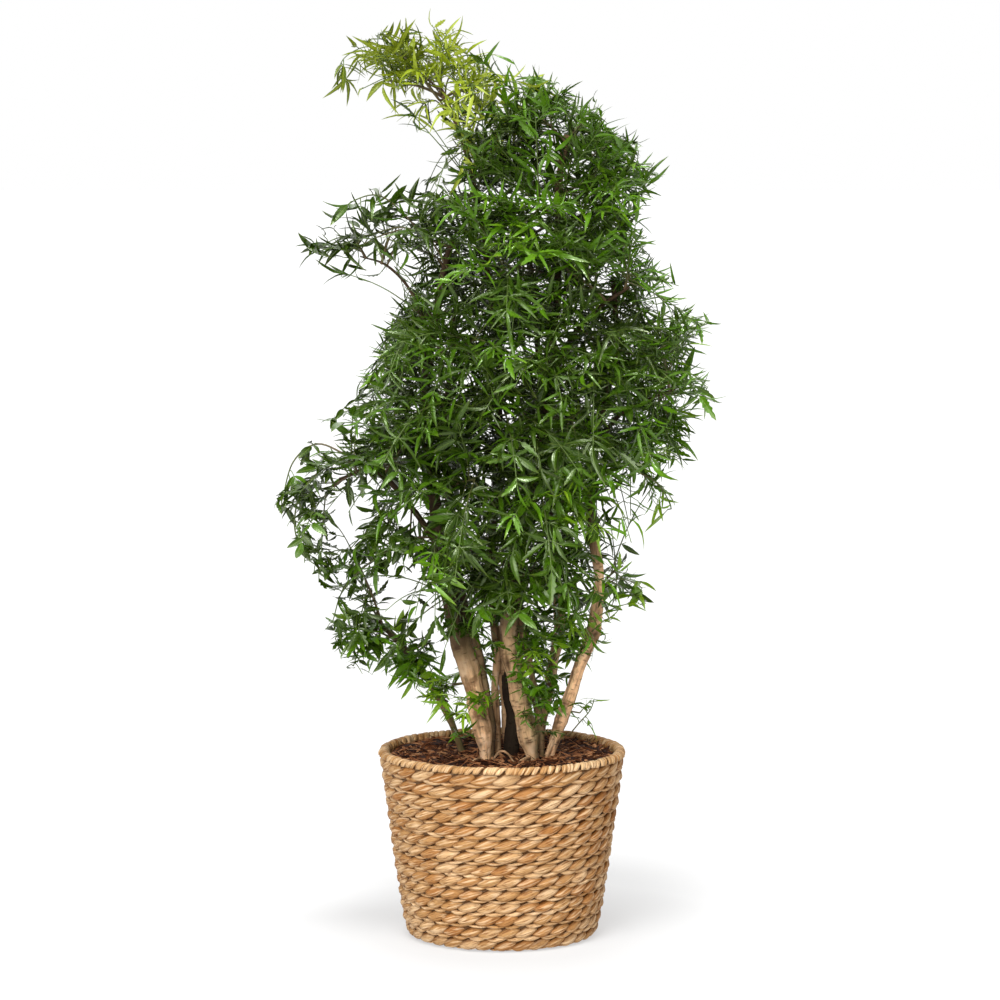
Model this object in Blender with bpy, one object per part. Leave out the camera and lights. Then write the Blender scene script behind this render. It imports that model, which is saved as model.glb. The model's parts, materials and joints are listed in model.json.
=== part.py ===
"""Potted ming aralia in a plaited basket, built as separate solids in metres, +Z up.

The origin is the centre of the basket's underside, and the photographed front faces -Y.
"""
import math
import random

import bmesh
import bpy
from mathutils import Vector
from mathutils.bvhtree import BVHTree

# Driving dimensions, in metres
BASKET_HEIGHT = 0.250
BASKET_TOP_RADIUS = 0.164
BASKET_FOOT_RADIUS = 0.127
BASKET_BULGE = 0.85
RIM_RADIUS = 0.1615
BASKET_WALL = 0.012
BASKET_FOOT_ROUNDING = 0.016
PLAIT_ROWS = 14
PLAIT_LOBES = 31
PLAIT_DEPTH = 0.0045
RIM_HEIGHT = 0.010
RIM_WIDTH = 0.011
PLAIT_SLANT = 0.22
LINER_WALL = 0.0012
LINER_BELOW_RIM = 0.020
SOIL_LEVEL = 0.232
SOIL_ROUGHNESS = 0.003
SOIL_RINGS = 4
HOLE_FLOOR = 0.150
HOLE_TOP = 0.275
HOLE_CLEARANCE = 0.0004
GAP = 0.0003

# Trunks and boughs
BOUGH_SEAT = 0.011
BOUGH_SHARE = 0.62
TRUNK_ABOVE_FOOT = 0.93

# Sprays: a green twig and its fronds, which aim outward, and downward low on the plant
TWIG_HALF_WIDTH = 0.0022
TWIG_TAPER = 0.25
TWIG_BEND = 0.45
TWIG_WANDER = 0.004
LONG_TWIG = 0.060
LONG_TWIG_SHARES = (0.10, 0.55, 0.86, 1.0)
SHORT_TWIG_SHARES = (0.25, 0.75, 1.0)
LOWEST_TWIG = 0.290
SEAT_SHARES = (0.2, 0.5, 0.8)
DROP_COST = 0.9
TWIG_RISE = 0.25
BARK_SEARCH = 0.06
LEAST_FACING = 0.2
PETIOLE_LENGTH = 0.018
RIB_HALF_WIDTH = 0.0012
RIB_HALF_THICKNESS = 0.0006
LEAFLET_PITCH = 0.0125
LEAFLET_LENGTH = 0.041
LEAFLET_HALF_WIDTH = 0.0036
LEAFLET_HALF_THICKNESS = 0.0004
LEAFLET_PAIRS = 4
LEAFLET_FIRST_ANGLE = 0.35
LEAFLET_ANGLE_GAIN = 0.75
LEAFLET_HANG = 0.35
BROAD_SHARE = 0.5
SHOULDER_ALONG_RIB = 0.7
SHOULDER_REACH = 0.4
FRONDS_PER_SPRAY = 3
AIM_PULL = 0.6
FACING_AIM = 0.8
OUTWARD_AIM = 0.5
WORST_LEAN = -0.3
FIRST_STRAY = 0.3
MORE_STRAY = 0.03
LOW_AIM = -0.75
HIGH_AIM = 0.45
LOW_DROOP = 0.16
HIGH_DROOP = 0.05
SPRAY_TRIES = 26
FROND_TRIES = 20
PLANT_AXIS_X = 0.020
PLANT_TOP = 1.210
UP = Vector((0.0, 0.0, 1.0))
SEED = 20

# Trunks: name, sides, radius at the foot and the tip, and the route from the soil up.
# The first point is the hole's place at the soil, the second is the top of the straight foot.
TRUNKS = (
    ("trunk_left", 8, 0.0135, 0.0040, (
        (-0.020, -0.055, SOIL_LEVEL), (-0.027, -0.054, 0.285), (-0.045, -0.050, 0.365),
        (-0.062, -0.045, 0.435), (-0.076, -0.040, 0.485), (-0.086, -0.035, 0.565),
        (-0.096, -0.030, 0.645), (-0.099, -0.030, 0.740), (-0.083, -0.028, 0.845),
        (-0.065, -0.030, 0.925))),
    ("trunk_middle", 8, 0.0145, 0.0040, (
        (0.041, -0.045, SOIL_LEVEL), (0.034, -0.045, 0.285), (0.021, -0.043, 0.340),
        (0.010, -0.042, 0.395), (0.013, -0.040, 0.460), (0.031, -0.037, 0.555),
        (0.051, -0.034, 0.660), (0.064, -0.032, 0.780), (0.071, -0.030, 0.895),
        (0.077, -0.030, 1.000), (0.085, -0.028, 1.060))),
    ("trunk_thin", 6, 0.0068, 0.0030, (
        (0.008, 0.000, SOIL_LEVEL), (0.007, 0.000, 0.290), (-0.003, 0.003, 0.375),
        (-0.014, 0.006, 0.450), (-0.014, 0.008, 0.525), (-0.008, 0.010, 0.615),
        (-0.003, 0.010, 0.740), (-0.016, 0.008, 0.870), (-0.034, 0.004, 0.985),
        (-0.056, 0.000, 1.065), (-0.080, 0.000, 1.118))),
    ("trunk_right", 8, 0.0095, 0.0032, (
        (0.061, -0.016, SOIL_LEVEL), (0.077, -0.018, 0.285), (0.101, -0.020, 0.355),
        (0.120, -0.020, 0.415), (0.128, -0.020, 0.475), (0.120, -0.018, 0.540),
        (0.115, -0.018, 0.605), (0.129, -0.018, 0.685), (0.148, -0.016, 0.780),
        (0.146, -0.014, 0.875))),
    ("trunk_back_left", 6, 0.0060, 0.0030, (
        (-0.050, 0.010, SOIL_LEVEL), (-0.068, 0.012, 0.285), (-0.100, 0.016, 0.340),
        (-0.132, 0.020, 0.385), (-0.165, 0.022, 0.415))),
    ("trunk_back", 6, 0.0080, 0.0030, (
        (0.045, 0.045, SOIL_LEVEL), (0.056, 0.048, 0.290), (0.075, 0.056, 0.395),
        (0.072, 0.062, 0.490), (0.061, 0.070, 0.595), (0.052, 0.080, 0.715),
        (0.042, 0.086, 0.840), (0.036, 0.080, 0.945))),
    ("trunk_rear", 6, 0.0070, 0.0030, (
        (-0.015, 0.072, SOIL_LEVEL), (-0.022, 0.074, 0.290), (-0.045, 0.082, 0.400),
        (-0.066, 0.090, 0.510), (-0.074, 0.096, 0.625), (-0.070, 0.098, 0.740),
        (-0.060, 0.094, 0.850))),
)

# Boughs: the trunk, the height that each grows from, its tip radius and its route.
BOUGHS = (
    ("trunk_left", 0.520, 0.0030, (
        (-0.118, -0.048, 0.575), (-0.165, -0.062, 0.625), (-0.212, -0.070, 0.615))),
    ("trunk_left", 0.790, 0.0028, (
        (-0.118, -0.030, 0.855), (-0.150, -0.026, 0.890), (-0.185, -0.022, 0.902))),
    ("trunk_middle", 0.730, 0.0030, (
        (0.092, -0.062, 0.800), (0.128, -0.078, 0.840), (0.165, -0.080, 0.865))),
    ("trunk_right", 0.650, 0.0030, (
        (0.155, -0.028, 0.695), (0.190, -0.034, 0.715), (0.226, -0.034, 0.730))),
    ("trunk_back", 0.550, 0.0028, (
        (0.098, 0.086, 0.595), (0.128, 0.102, 0.635), (0.150, 0.110, 0.680))),
    ("trunk_rear", 0.570, 0.0028, (
        (-0.100, 0.104, 0.605), (-0.128, 0.110, 0.645), (-0.150, 0.104, 0.680))),
)

# Sprays: where the twig of each ends, and the size of its fronds, which is 1 for a full one.
TOP_LEFT_SPRAYS = (
    (-0.150, -0.010, 1.130, 0.80), (-0.095, 0.010, 1.155, 0.80), (-0.040, -0.015, 1.120, 0.90),
)
SPRAYS = (
    # Crown at the top right
    (0.045, -0.030, 1.085, 0.85), (0.105, 0.005, 1.075, 0.85), (0.140, -0.035, 1.010, 0.90),
    (0.010, 0.060, 1.030, 0.85), (0.118, 0.065, 0.955, 0.90), (0.045, -0.095, 0.965, 0.95),
    (-0.030, -0.040, 0.990, 0.90),
    # Branch at the left, half-way up
    (-0.190, -0.020, 0.920, 0.85), (-0.145, -0.055, 0.930, 0.85), (-0.100, 0.045, 0.905, 0.90),
    # Body, front and sides
    (0.000, -0.100, 0.890, 1.00), (0.085, -0.095, 0.885, 1.00), (0.165, -0.055, 0.880, 0.95),
    (-0.105, -0.060, 0.825, 0.90), (-0.030, -0.125, 0.800, 1.00), (0.055, -0.135, 0.790, 1.00),
    (0.130, -0.105, 0.785, 1.00), (0.195, 0.030, 0.810, 0.90), (0.210, -0.055, 0.770, 0.90),
    (0.090, -0.130, 0.695, 1.00), (0.005, -0.135, 0.705, 1.00),
    (-0.075, -0.110, 0.720, 1.00), (-0.135, 0.050, 0.735, 0.90), (-0.125, -0.070, 0.660, 1.00),
    (-0.035, -0.130, 0.620, 1.00), (0.050, -0.130, 0.605, 1.00), (0.130, -0.095, 0.625, 1.00),
    (0.180, 0.050, 0.635, 0.95), (0.218, 0.010, 0.715, 0.90),
    # Left side, lower down
    (-0.195, -0.085, 0.650, 0.90), (-0.230, -0.070, 0.590, 0.85), (-0.200, -0.020, 0.520, 0.95),
    (-0.145, -0.090, 0.565, 1.00), (-0.085, -0.105, 0.535, 1.00), (-0.010, -0.110, 0.520, 1.00),
    (0.070, -0.095, 0.500, 0.95), (-0.075, -0.085, 0.465, 0.85), (-0.175, 0.025, 0.435, 0.90),
    (0.160, 0.020, 0.490, 0.85),
    # Back
    (-0.120, 0.120, 0.790, 0.95), (0.020, 0.150, 0.870, 0.95), (0.130, 0.110, 0.780, 0.95),
    (-0.060, 0.155, 0.670, 1.00), (0.055, 0.155, 0.645, 1.00), (0.165, 0.125, 0.690, 0.90),
    (-0.165, 0.110, 0.615, 0.90), (0.020, 0.140, 0.520, 0.90),
)


def clear_scene():
    for item in list(bpy.data.objects):
        bpy.data.objects.remove(item, do_unlink=True)


def plain_material(name, colour, roughness):
    material = bpy.data.materials.new(name)
    material.use_nodes = True
    shader = material.node_tree.nodes["Principled BSDF"]
    shader.inputs["Base Color"].default_value = (*colour, 1.0)
    shader.inputs["Roughness"].default_value = roughness
    shader.inputs["Metallic"].default_value = 0.0
    return material


def add_node(name, verts, faces, material):
    mesh = bpy.data.meshes.new(name)
    mesh.from_pydata([tuple(v) for v in verts], [], faces)
    mesh.materials.append(material)
    node = bpy.data.objects.new(name, mesh)
    bpy.context.scene.collection.objects.link(node)
    return node


class Body:
    """A closed surface grown ring by ring. An open quad of it can carry a twig or a leaflet."""

    def __init__(self):
        self.verts = []
        self.faces = []

    def point(self, place):
        self.verts.append(Vector(place))
        return len(self.verts) - 1

    def quad(self, a, b, c, d):
        self.faces += [(a, b, c), (a, c, d)]

    def fan(self, ring, apex):
        for i, a in enumerate(ring):
            self.faces.append((a, ring[(i + 1) % len(ring)], apex))

    def band(self, low, high, open_sides=()):
        for i in range(len(low)):
            j = (i + 1) % len(low)
            if i not in open_sides:
                self.quad(low[i], low[j], high[j], high[i])


def circle(count, radius, height, turn=0.0):
    step = math.tau / count
    return [
        Vector((radius * math.cos(step * (i + turn)), radius * math.sin(step * (i + turn)), height))
        for i in range(count)
    ]


def lathe(rings):
    """Close a stack of rings with a fan at each end. The stack runs so that its faces point out."""
    body = Body()
    loops = [[body.point(p) for p in ring] for ring in rings]
    for low, high in zip(loops, loops[1:]):
        body.band(low, high)
    start = body.point(sum((Vector(p) for p in rings[0]), Vector()) / len(rings[0]))
    end = body.point(sum((Vector(p) for p in rings[-1]), Vector()) / len(rings[-1]))
    body.fan(loops[0][::-1], start)
    body.fan(loops[-1], end)
    return body


def basket_radius(height):
    """Outer radius of the plaited wall, which bulges a little and turns in at the foot."""
    share = height / BASKET_HEIGHT
    taper = BASKET_FOOT_RADIUS + (BASKET_TOP_RADIUS - BASKET_FOOT_RADIUS) * share ** BASKET_BULGE
    if height < BASKET_FOOT_ROUNDING:
        rise = 1.0 - height / BASKET_FOOT_ROUNDING
        taper -= BASKET_FOOT_ROUNDING * (1.0 - math.sqrt(max(0.0, 1.0 - rise * rise)))
    return taper


def crest_ring(row, pitch):
    """Twice as many points as lobes: every other point is the crown of a lobe."""
    height = (row + 0.5) * pitch
    ring = circle(2 * PLAIT_LOBES, 1.0, height, row)
    for i, point in enumerate(ring):
        inward = 0.0 if i % 2 == 0 else PLAIT_DEPTH
        slant = PLAIT_SLANT * pitch if i % 2 == 0 else -PLAIT_SLANT * pitch
        radius = basket_radius(height) - inward
        point.x *= radius
        point.y *= radius
        point.z += slant
    return ring


def valley_ring(row, pitch):
    height = row * pitch
    return circle(PLAIT_LOBES, basket_radius(height) - PLAIT_DEPTH, height, 0.5 * row)


def join_valley_to_crest(body, valley, crest, shift, valley_below):
    """Three triangles for each lobe, between a ring and one with twice its points."""
    count = len(valley)
    for j in range(count):
        here, after = valley[j], valley[(j + 1) % count]
        fan = [crest[(2 * j + k + shift) % len(crest)] for k in (-1, 0, 1)]
        faces = [(here, fan[1], fan[0]), (here, fan[2], fan[1]), (here, after, fan[2])]
        body.faces += faces if valley_below else [face[::-1] for face in faces]


def inner_radius(height):
    share = height / BASKET_HEIGHT
    return BASKET_FOOT_RADIUS - BASKET_WALL + (BASKET_TOP_RADIUS - BASKET_FOOT_RADIUS) * share


def make_basket():
    body = Body()
    pitch = (BASKET_HEIGHT - RIM_HEIGHT) / PLAIT_ROWS
    foot = [body.point(p) for p in circle(PLAIT_LOBES, BASKET_FOOT_RADIUS - BASKET_FOOT_ROUNDING, 0.0)]
    body.fan(foot[::-1], body.point((0.0, 0.0, 0.0)))
    valley = foot
    for row in range(PLAIT_ROWS):
        crest = [body.point(p) for p in crest_ring(row, pitch)]
        join_valley_to_crest(body, valley, crest, 0, True)
        valley = [body.point(p) for p in valley_ring(row + 1, pitch)]
        join_valley_to_crest(body, valley, crest, 1, False)
    turn = 0.5 * PLAIT_ROWS
    top = BASKET_HEIGHT
    rim_rings = (
        (RIM_RADIUS, top - 0.6 * RIM_HEIGHT),
        (RIM_RADIUS - 0.2 * RIM_WIDTH, top - 0.1 * RIM_HEIGHT),
        (RIM_RADIUS - 0.6 * RIM_WIDTH, top),
        (RIM_RADIUS - RIM_WIDTH, top - 0.3 * RIM_HEIGHT),
        (inner_radius(top - RIM_HEIGHT), top - RIM_HEIGHT),
        (inner_radius(BASKET_WALL), BASKET_WALL),
    )
    ring = valley
    for radius, height in rim_rings:
        above = [body.point(p) for p in circle(PLAIT_LOBES, radius, height, turn)]
        body.band(ring, above)
        ring = above
    body.fan(ring, body.point((0.0, 0.0, BASKET_WALL)))
    fibre = plain_material("plait_fibre", (0.46, 0.27, 0.12), 0.75)
    add_node("basket", body.verts, body.faces, fibre)


def pot_ring(height, inset):
    return circle(PLAIT_LOBES, inner_radius(height) - inset, height, 0.5 * PLAIT_ROWS)


def make_liner():
    low = BASKET_WALL + GAP
    high = BASKET_HEIGHT - LINER_BELOW_RIM
    rings = [
        pot_ring(low, GAP), pot_ring(high, GAP), pot_ring(high, GAP + LINER_WALL),
        pot_ring(low + LINER_WALL, GAP + LINER_WALL),
    ]
    body = lathe(rings)
    plastic = plain_material("liner_plastic", (0.03, 0.03, 0.03), 0.5)
    add_node("liner", body.verts, body.faces, plastic)


def make_soil(cutters):
    rng = random.Random(SEED)
    low = BASKET_WALL + LINER_WALL + 2 * GAP
    inset = LINER_WALL + 2 * GAP
    edge = SOIL_LEVEL - 2 * SOIL_ROUGHNESS
    rings = [pot_ring(low, inset), pot_ring(edge, inset)]
    for k in range(1, SOIL_RINGS):
        radius = inner_radius(edge) * (1.0 - k / SOIL_RINGS)
        ring = circle(PLAIT_LOBES, radius, SOIL_LEVEL, 0.5 * PLAIT_ROWS)
        for point in ring:
            point.z += rng.uniform(-SOIL_ROUGHNESS, SOIL_ROUGHNESS)
        rings.append(ring)
    body = lathe(rings)
    coir = plain_material("potting_mix", (0.07, 0.04, 0.025), 0.95)
    soil = add_node("soil", body.verts, body.faces, coir)
    cut = soil.modifiers.new("holes", "BOOLEAN")
    cut.operation = "DIFFERENCE"
    cut.solver = "EXACT"
    cut.operand_type = "COLLECTION"
    cut.collection = cutters
    graph = bpy.context.evaluated_depsgraph_get()
    carved = bpy.data.meshes.new_from_object(soil.evaluated_get(graph))
    soil.modifiers.clear()
    soil.data = carved
    for cutter in list(cutters.objects):
        bpy.data.objects.remove(cutter, do_unlink=True)
    bpy.data.collections.remove(cutters)
    tidy = bmesh.new()
    tidy.from_mesh(carved)
    bmesh.ops.triangulate(tidy, faces=tidy.faces)
    tidy.to_mesh(carved)
    tidy.free()


def tube_frames(route):
    """A direction and a side vector at each point of a route, turned as little as possible."""
    frames = []
    side = Vector((1.0, 0.0, 0.0))
    for i, point in enumerate(route):
        before = route[max(i - 1, 0)]
        after = route[min(i + 1, len(route) - 1)]
        ahead = (after - before).normalized()
        if i == 1:
            ahead = (point - before).normalized()
        side = (side - ahead * side.dot(ahead)).normalized()
        frames.append((ahead, side))
    return frames


def tube_rings(body, route, radii, sides):
    loops = []
    for point, radius, (ahead, side) in zip(route, radii, tube_frames(route)):
        up = ahead.cross(side)
        loop = []
        for i in range(sides):
            angle = math.tau * (i + 0.5) / sides
            loop.append(body.point(point + radius * (math.cos(angle) * side + math.sin(angle) * up)))
        loops.append(loop)
    return loops


def foot_point(route, height):
    """Where the straight foot of a trunk, carried on past the soil, passes a height."""
    low, high = Vector(route[0]), Vector(route[1])
    return low + (high - low) * ((height - low.z) / (high.z - low.z))


def hole_cutter(name, sides, radius, route, cutters):
    body = Body()
    drop = HOLE_CLEARANCE
    ends = [foot_point(route, HOLE_FLOOR - drop), foot_point(route, HOLE_TOP)]
    grown = radius + HOLE_CLEARANCE / math.cos(math.pi / sides)
    loops = tube_rings(body, ends, [grown, grown], sides)
    body.band(loops[0], loops[1])
    body.fan(loops[0][::-1], body.point(ends[0]))
    body.fan(loops[1], body.point(ends[1]))
    cutter = add_node("cut_" + name, body.verts, body.faces, None)
    cutter.display_type = "WIRE"
    cutter.hide_render = True
    bpy.context.scene.collection.objects.unlink(cutter)
    cutters.objects.link(cutter)


def cap_ring(body, loop, centre):
    body.fan(loop, body.point(centre))


def grow_bough(body, quad, route, base_radius, tip_radius):
    """Carry an open quad of a trunk on as a four-sided bough."""
    ring = quad
    points = [Vector(p) for p in route]
    start = sum((body.verts[i] for i in quad), Vector()) / 4.0
    whole = [start] + points
    for k in range(1, len(whole)):
        before, here = whole[k - 1], whole[k]
        after = whole[min(k + 1, len(whole) - 1)]
        ahead = (after - before).normalized()
        radius = base_radius + (tip_radius - base_radius) * (k - 1) / (len(whole) - 2)
        above = matched_ring(body, ring, here, ahead, radius, radius)
        body.band(ring, above)
        ring = above
    cap_ring(body, ring, whole[-1])


def matched_ring(body, base, centre, ahead, half_width, half_height, side=None):
    """Four new points round a centre, each facing the point of the base ring that it joins."""
    if side is None:
        side = body.verts[base[1]] - body.verts[base[0]]
    side = (side - ahead * side.dot(ahead)).normalized()
    up = ahead.cross(side)
    corners = [
        centre - side * half_width - up * half_height, centre + side * half_width - up * half_height,
        centre + side * half_width + up * half_height, centre - side * half_width + up * half_height,
    ]
    middle = sum((body.verts[i] for i in base), Vector()) / 4.0

    def strain(turn):
        total = 0.0
        for k in range(4):
            here = (corners[(k + turn) % 4] - centre).normalized()
            total += (here - (body.verts[base[k]] - middle).normalized()).length
        return total

    turn = min(range(4), key=strain)
    return [body.point(corners[(k + turn) % 4]) for k in range(4)]


def with_seats(points, heights):
    """Add two points to a route round each height, so that a bough grows from a short step."""
    for height in heights:
        k = next(k for k in range(len(points) - 1) if points[k].z <= height < points[k + 1].z)
        low, high = points[k], points[k + 1]
        seat = [
            low + (high - low) * ((height + shift - low.z) / (high.z - low.z))
            for shift in (-BOUGH_SEAT, BOUGH_SEAT)
        ]
        points[k + 1:k + 1] = seat
    return points


def make_trunk(name, sides, foot_radius, tip_radius, route, material):
    body = Body()
    points = [foot_point(route, HOLE_FLOOR)] + [Vector(p) for p in route[1:]]
    points = with_seats(points, [bough[1] for bough in BOUGHS if bough[0] == name])
    radii = [foot_radius, foot_radius]
    rest = len(points) - 2
    above_foot = foot_radius * TRUNK_ABOVE_FOOT
    radii += [above_foot + (tip_radius - above_foot) * (k + 1) / rest for k in range(rest)]
    loops = tube_rings(body, points, radii, sides)
    boughs = [bough for bough in BOUGHS if bough[0] == name]
    for k, (low, high) in enumerate(zip(loops, loops[1:])):
        grown = {}
        for _, height, tip, bough_route in boughs:
            if points[k].z <= height < points[k + 1].z:
                grown[side_towards(body, low, high, Vector(bough_route[0]))] = (tip, bough_route)
        body.band(low, high, grown)
        for i, (tip, bough_route) in grown.items():
            j = (i + 1) % sides
            quad = [low[i], low[j], high[j], high[i]]
            grow_bough(body, quad, bough_route, radii[k] * BOUGH_SHARE, tip)
    body.fan(loops[0][::-1], body.point(points[0]))
    cap_ring(body, loops[-1], points[-1])
    add_node(name, body.verts, body.faces, material)
    return body


def side_towards(body, low, high, target):
    centre = sum((body.verts[i] for i in low + high), Vector()) / (2 * len(low))

    def facing(i):
        j = (i + 1) % len(low)
        middle = (body.verts[low[i]] + body.verts[low[j]] + body.verts[high[j]] + body.verts[high[i]]) / 4.0
        return (middle - centre).normalized().dot((target - centre).normalized())

    return max(range(len(low)), key=facing)


def grow_leaflet(body, quad, reach, forward, up):
    """A knife-shaped leaflet on an open quad of the rib: a shoulder on its far edge and a point."""
    near = (body.verts[quad[0]] + body.verts[quad[1]]) / 2.0
    far = (body.verts[quad[2]] + body.verts[quad[3]]) / 2.0
    tip = body.point((near + far) / 2.0 + reach)
    root = near + (far - near) * SHOULDER_ALONG_RIB
    shoulder = root + reach * SHOULDER_REACH + forward * LEAFLET_HALF_WIDTH
    sign = 1.0 if (body.verts[quad[1]] - body.verts[quad[0]]).dot(up) > 0.0 else -1.0
    lift = up * (sign * LEAFLET_HALF_THICKNESS)
    first = body.point(shoulder + lift)
    second = body.point(shoulder - lift)
    near_low, near_high, far_high, far_low = quad
    body.faces += [
        (near_high, far_high, first), (near_high, first, tip),
        (far_high, far_low, second), (far_high, second, first),
        (far_low, near_low, second), (near_low, tip, second),
        (near_low, near_high, tip), (first, second, tip),
    ]


def bent_towards(ahead, aim, share):
    return (ahead * (1.0 - share) + aim * share).normalized()


def grow_pair(body, ring, above, frame, size, place, rng):
    """Close one step of a rib: leaflets on its two edges, plain faces above and below."""
    ahead, side, up = frame
    middle = sum((body.verts[n] for n in ring), Vector()) / 4.0
    for i in range(4):
        j = (i + 1) % 4
        wall = (ring[i], ring[j], above[j], above[i])
        outward = (body.verts[ring[i]] + body.verts[ring[j]]) / 2.0 - middle
        if abs(outward.dot(side)) < abs(outward.dot(up)):
            body.quad(*wall)
            continue
        out = side if outward.dot(side) > 0.0 else -side
        angle = LEAFLET_FIRST_ANGLE + LEAFLET_ANGLE_GAIN * place + rng.uniform(-0.08, 0.08)
        length = LEAFLET_LENGTH * size * rng.uniform(0.9, 1.1) * (1.0 - 0.3 * place)
        flat = out * math.cos(angle) + ahead * math.sin(angle)
        forward = ahead * math.cos(angle) - out * math.sin(angle)
        reach = (flat - up * rng.uniform(0.0, LEAFLET_HANG)).normalized() * length
        if place < BROAD_SHARE:
            grow_leaflet(body, wall, reach, forward, up)
        else:
            centre = sum((body.verts[n] for n in wall), Vector()) / 4.0
            body.fan(wall, body.point(centre + reach))


def grow_frond(body, quad, aim, droop, size, pairs, rng):
    """A petiole on an open quad, then a rib with a pair of leaflets to each step, then a point."""
    a, b, c, d = (body.verts[i] for i in quad)
    facing = (c - a).cross(d - b).normalized()
    ahead = bent_towards(facing, aim, AIM_PULL)
    centre = (a + b + c + d) / 4.0 + ahead * (PETIOLE_LENGTH * size)
    ahead = bent_towards(ahead, aim, AIM_PULL)
    side = ahead.cross(UP)
    side = side.normalized() if side.length > 0.3 else ahead.orthogonal().normalized()
    ring = matched_ring(body, quad, centre, ahead, RIB_HALF_WIDTH, RIB_HALF_THICKNESS, side)
    body.band(quad, ring)
    for k in range(pairs):
        ahead = bent_towards(ahead, -UP, droop)
        side = (side - ahead * side.dot(ahead)).normalized()
        centre = centre + ahead * (LEAFLET_PITCH * size)
        above = matched_ring(body, ring, centre, ahead, RIB_HALF_WIDTH, RIB_HALF_THICKNESS, side)
        grow_pair(body, ring, above, (ahead, side, side.cross(ahead)), size, k / pairs, rng)
        ring = above
    body.fan(ring, body.point(centre + ahead * (LEAFLET_LENGTH * size)))


def crosses(body, first_face, placed):
    """Whether the newest faces meet another node, or a face of their own that isn't a neighbour."""
    fresh = body.faces[first_face:]
    tree = BVHTree.FromPolygons(body.verts, fresh)
    if any(tree.overlap(other) for other in placed):
        return True
    whole = BVHTree.FromPolygons(body.verts, body.faces)
    for i, j in tree.overlap(whole):
        if i + first_face != j and not set(fresh[i]) & set(body.faces[j]):
            return True
    return False


def try_frond(body, quad, placed, recipe):
    """Grow a frond where a closed quad of the twig is, and take it back if it crosses anything."""
    a, b, c, d = quad
    body.faces.remove((a, b, c))
    body.faces.remove((a, c, d))
    face_count, vert_count = len(body.faces), len(body.verts)
    grow_frond(body, quad, *recipe)
    if not crosses(body, face_count, placed):
        return True
    del body.faces[face_count:]
    del body.verts[vert_count:]
    body.quad(*quad)
    return False


def wood_point(wood, target):
    """The axis point that a spray grows from: near its target, and rather below it than above."""
    best = None
    for route, tree in wood:
        for low, high in zip(route, route[1:]):
            for share in SEAT_SHARES:
                axis = low + (high - low) * share
                if axis.z < LOWEST_TWIG:
                    continue
                reach = (target - axis).length
                cost = reach + DROP_COST * max(0.0, axis.z + TWIG_RISE * reach - target.z)
                if best is None or cost < best[0]:
                    best = (cost, axis, tree)
    return best[1], best[2]


def grow_twig(body, target, wood, placed, rng):
    """A four-sided twig from the bark to the target, which gives its rings, or None."""
    for attempt in range(SPRAY_TRIES):
        wander = Vector([rng.uniform(-1.0, 1.0) for _ in range(3)]) * (TWIG_WANDER * attempt)
        axis, tree = wood_point(wood, target + wander)
        away = (target + wander - axis).normalized()
        hit, normal, _, _ = tree.ray_cast(axis + away * BARK_SEARCH, -away)
        if hit is None or normal.dot(away) < LEAST_FACING:
            continue
        body.verts.clear()
        body.faces.clear()
        foot = hit + normal * GAP
        side = normal.orthogonal().normalized() * TWIG_HALF_WIDTH
        up = normal.cross(side)
        rings = [[body.point(foot + side * u + up * v) for u, v in ((-1, -1), (1, -1), (1, 1), (-1, 1))]]
        reach = (target - foot).length
        bend = foot + normal * (TWIG_BEND * reach)
        shares = LONG_TWIG_SHARES if reach > LONG_TWIG else SHORT_TWIG_SHARES
        route = [foot] + [foot * (1 - t) ** 2 + bend * (2 * t * (1 - t)) + target * t ** 2 for t in shares]
        for k in range(1, len(route)):
            width = TWIG_HALF_WIDTH * (1.0 - TWIG_TAPER * k / (len(route) - 1))
            ahead = (route[k] - route[k - 1]).normalized()
            rings.append(matched_ring(body, rings[-1], route[k], ahead, width, width))
        body.quad(*rings[0][::-1])
        for low, high in zip(rings, rings[1:]):
            body.band(low, high)
        body.quad(*rings[-1])
        if not crosses(body, 0, placed):
            return rings
    return None


def twig_seats(rings):
    """The quads that fronds may grow on: the tip, then the sides of each step back to the bark."""
    seats = [tuple(rings[-1])]
    for low, high in zip(rings[1:-1][::-1], rings[2:][::-1]):
        seats += [(low[i], low[(i + 1) % 4], high[(i + 1) % 4], high[i]) for i in range(4)]
    return seats


def make_spray(name, place, wood, placed, material, rng):
    *target, size = place
    target = Vector(target)
    body = Body()
    rings = grow_twig(body, target, wood, placed, rng)
    if rings is None:
        print("no room for", name)
        return
    outward = Vector((target.x - PLANT_AXIS_X, target.y, 0.0)).normalized()
    height = (target.z - LOWEST_TWIG) / (PLANT_TOP - LOWEST_TWIG)
    lean = outward * OUTWARD_AIM + UP * (LOW_AIM + (HIGH_AIM - LOW_AIM) * height)
    droop = LOW_DROOP + (HIGH_DROOP - LOW_DROOP) * height
    fronds = 0
    for k, seat in enumerate(twig_seats(rings)):
        a, b, c, d = (body.verts[i] for i in seat)
        facing = (c - a).cross(d - b).normalized()
        if fronds == FRONDS_PER_SPRAY or (k > 0 and facing.dot(lean) < WORST_LEAN):
            continue
        for attempt in range(FROND_TRIES):
            spread = FIRST_STRAY + MORE_STRAY * attempt
            stray = Vector([rng.uniform(-spread, spread) for _ in range(3)])
            aim = (facing * FACING_AIM + lean + stray).normalized()
            pairs = LEAFLET_PAIRS - (1 if attempt > FROND_TRIES // 2 else 0)
            if try_frond(body, seat, placed, (aim, droop, size * rng.uniform(0.92, 1.08), pairs, rng)):
                fronds += 1
                break
    add_node(name, body.verts, body.faces, material)
    placed.append(BVHTree.FromPolygons(body.verts, body.faces))


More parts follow.
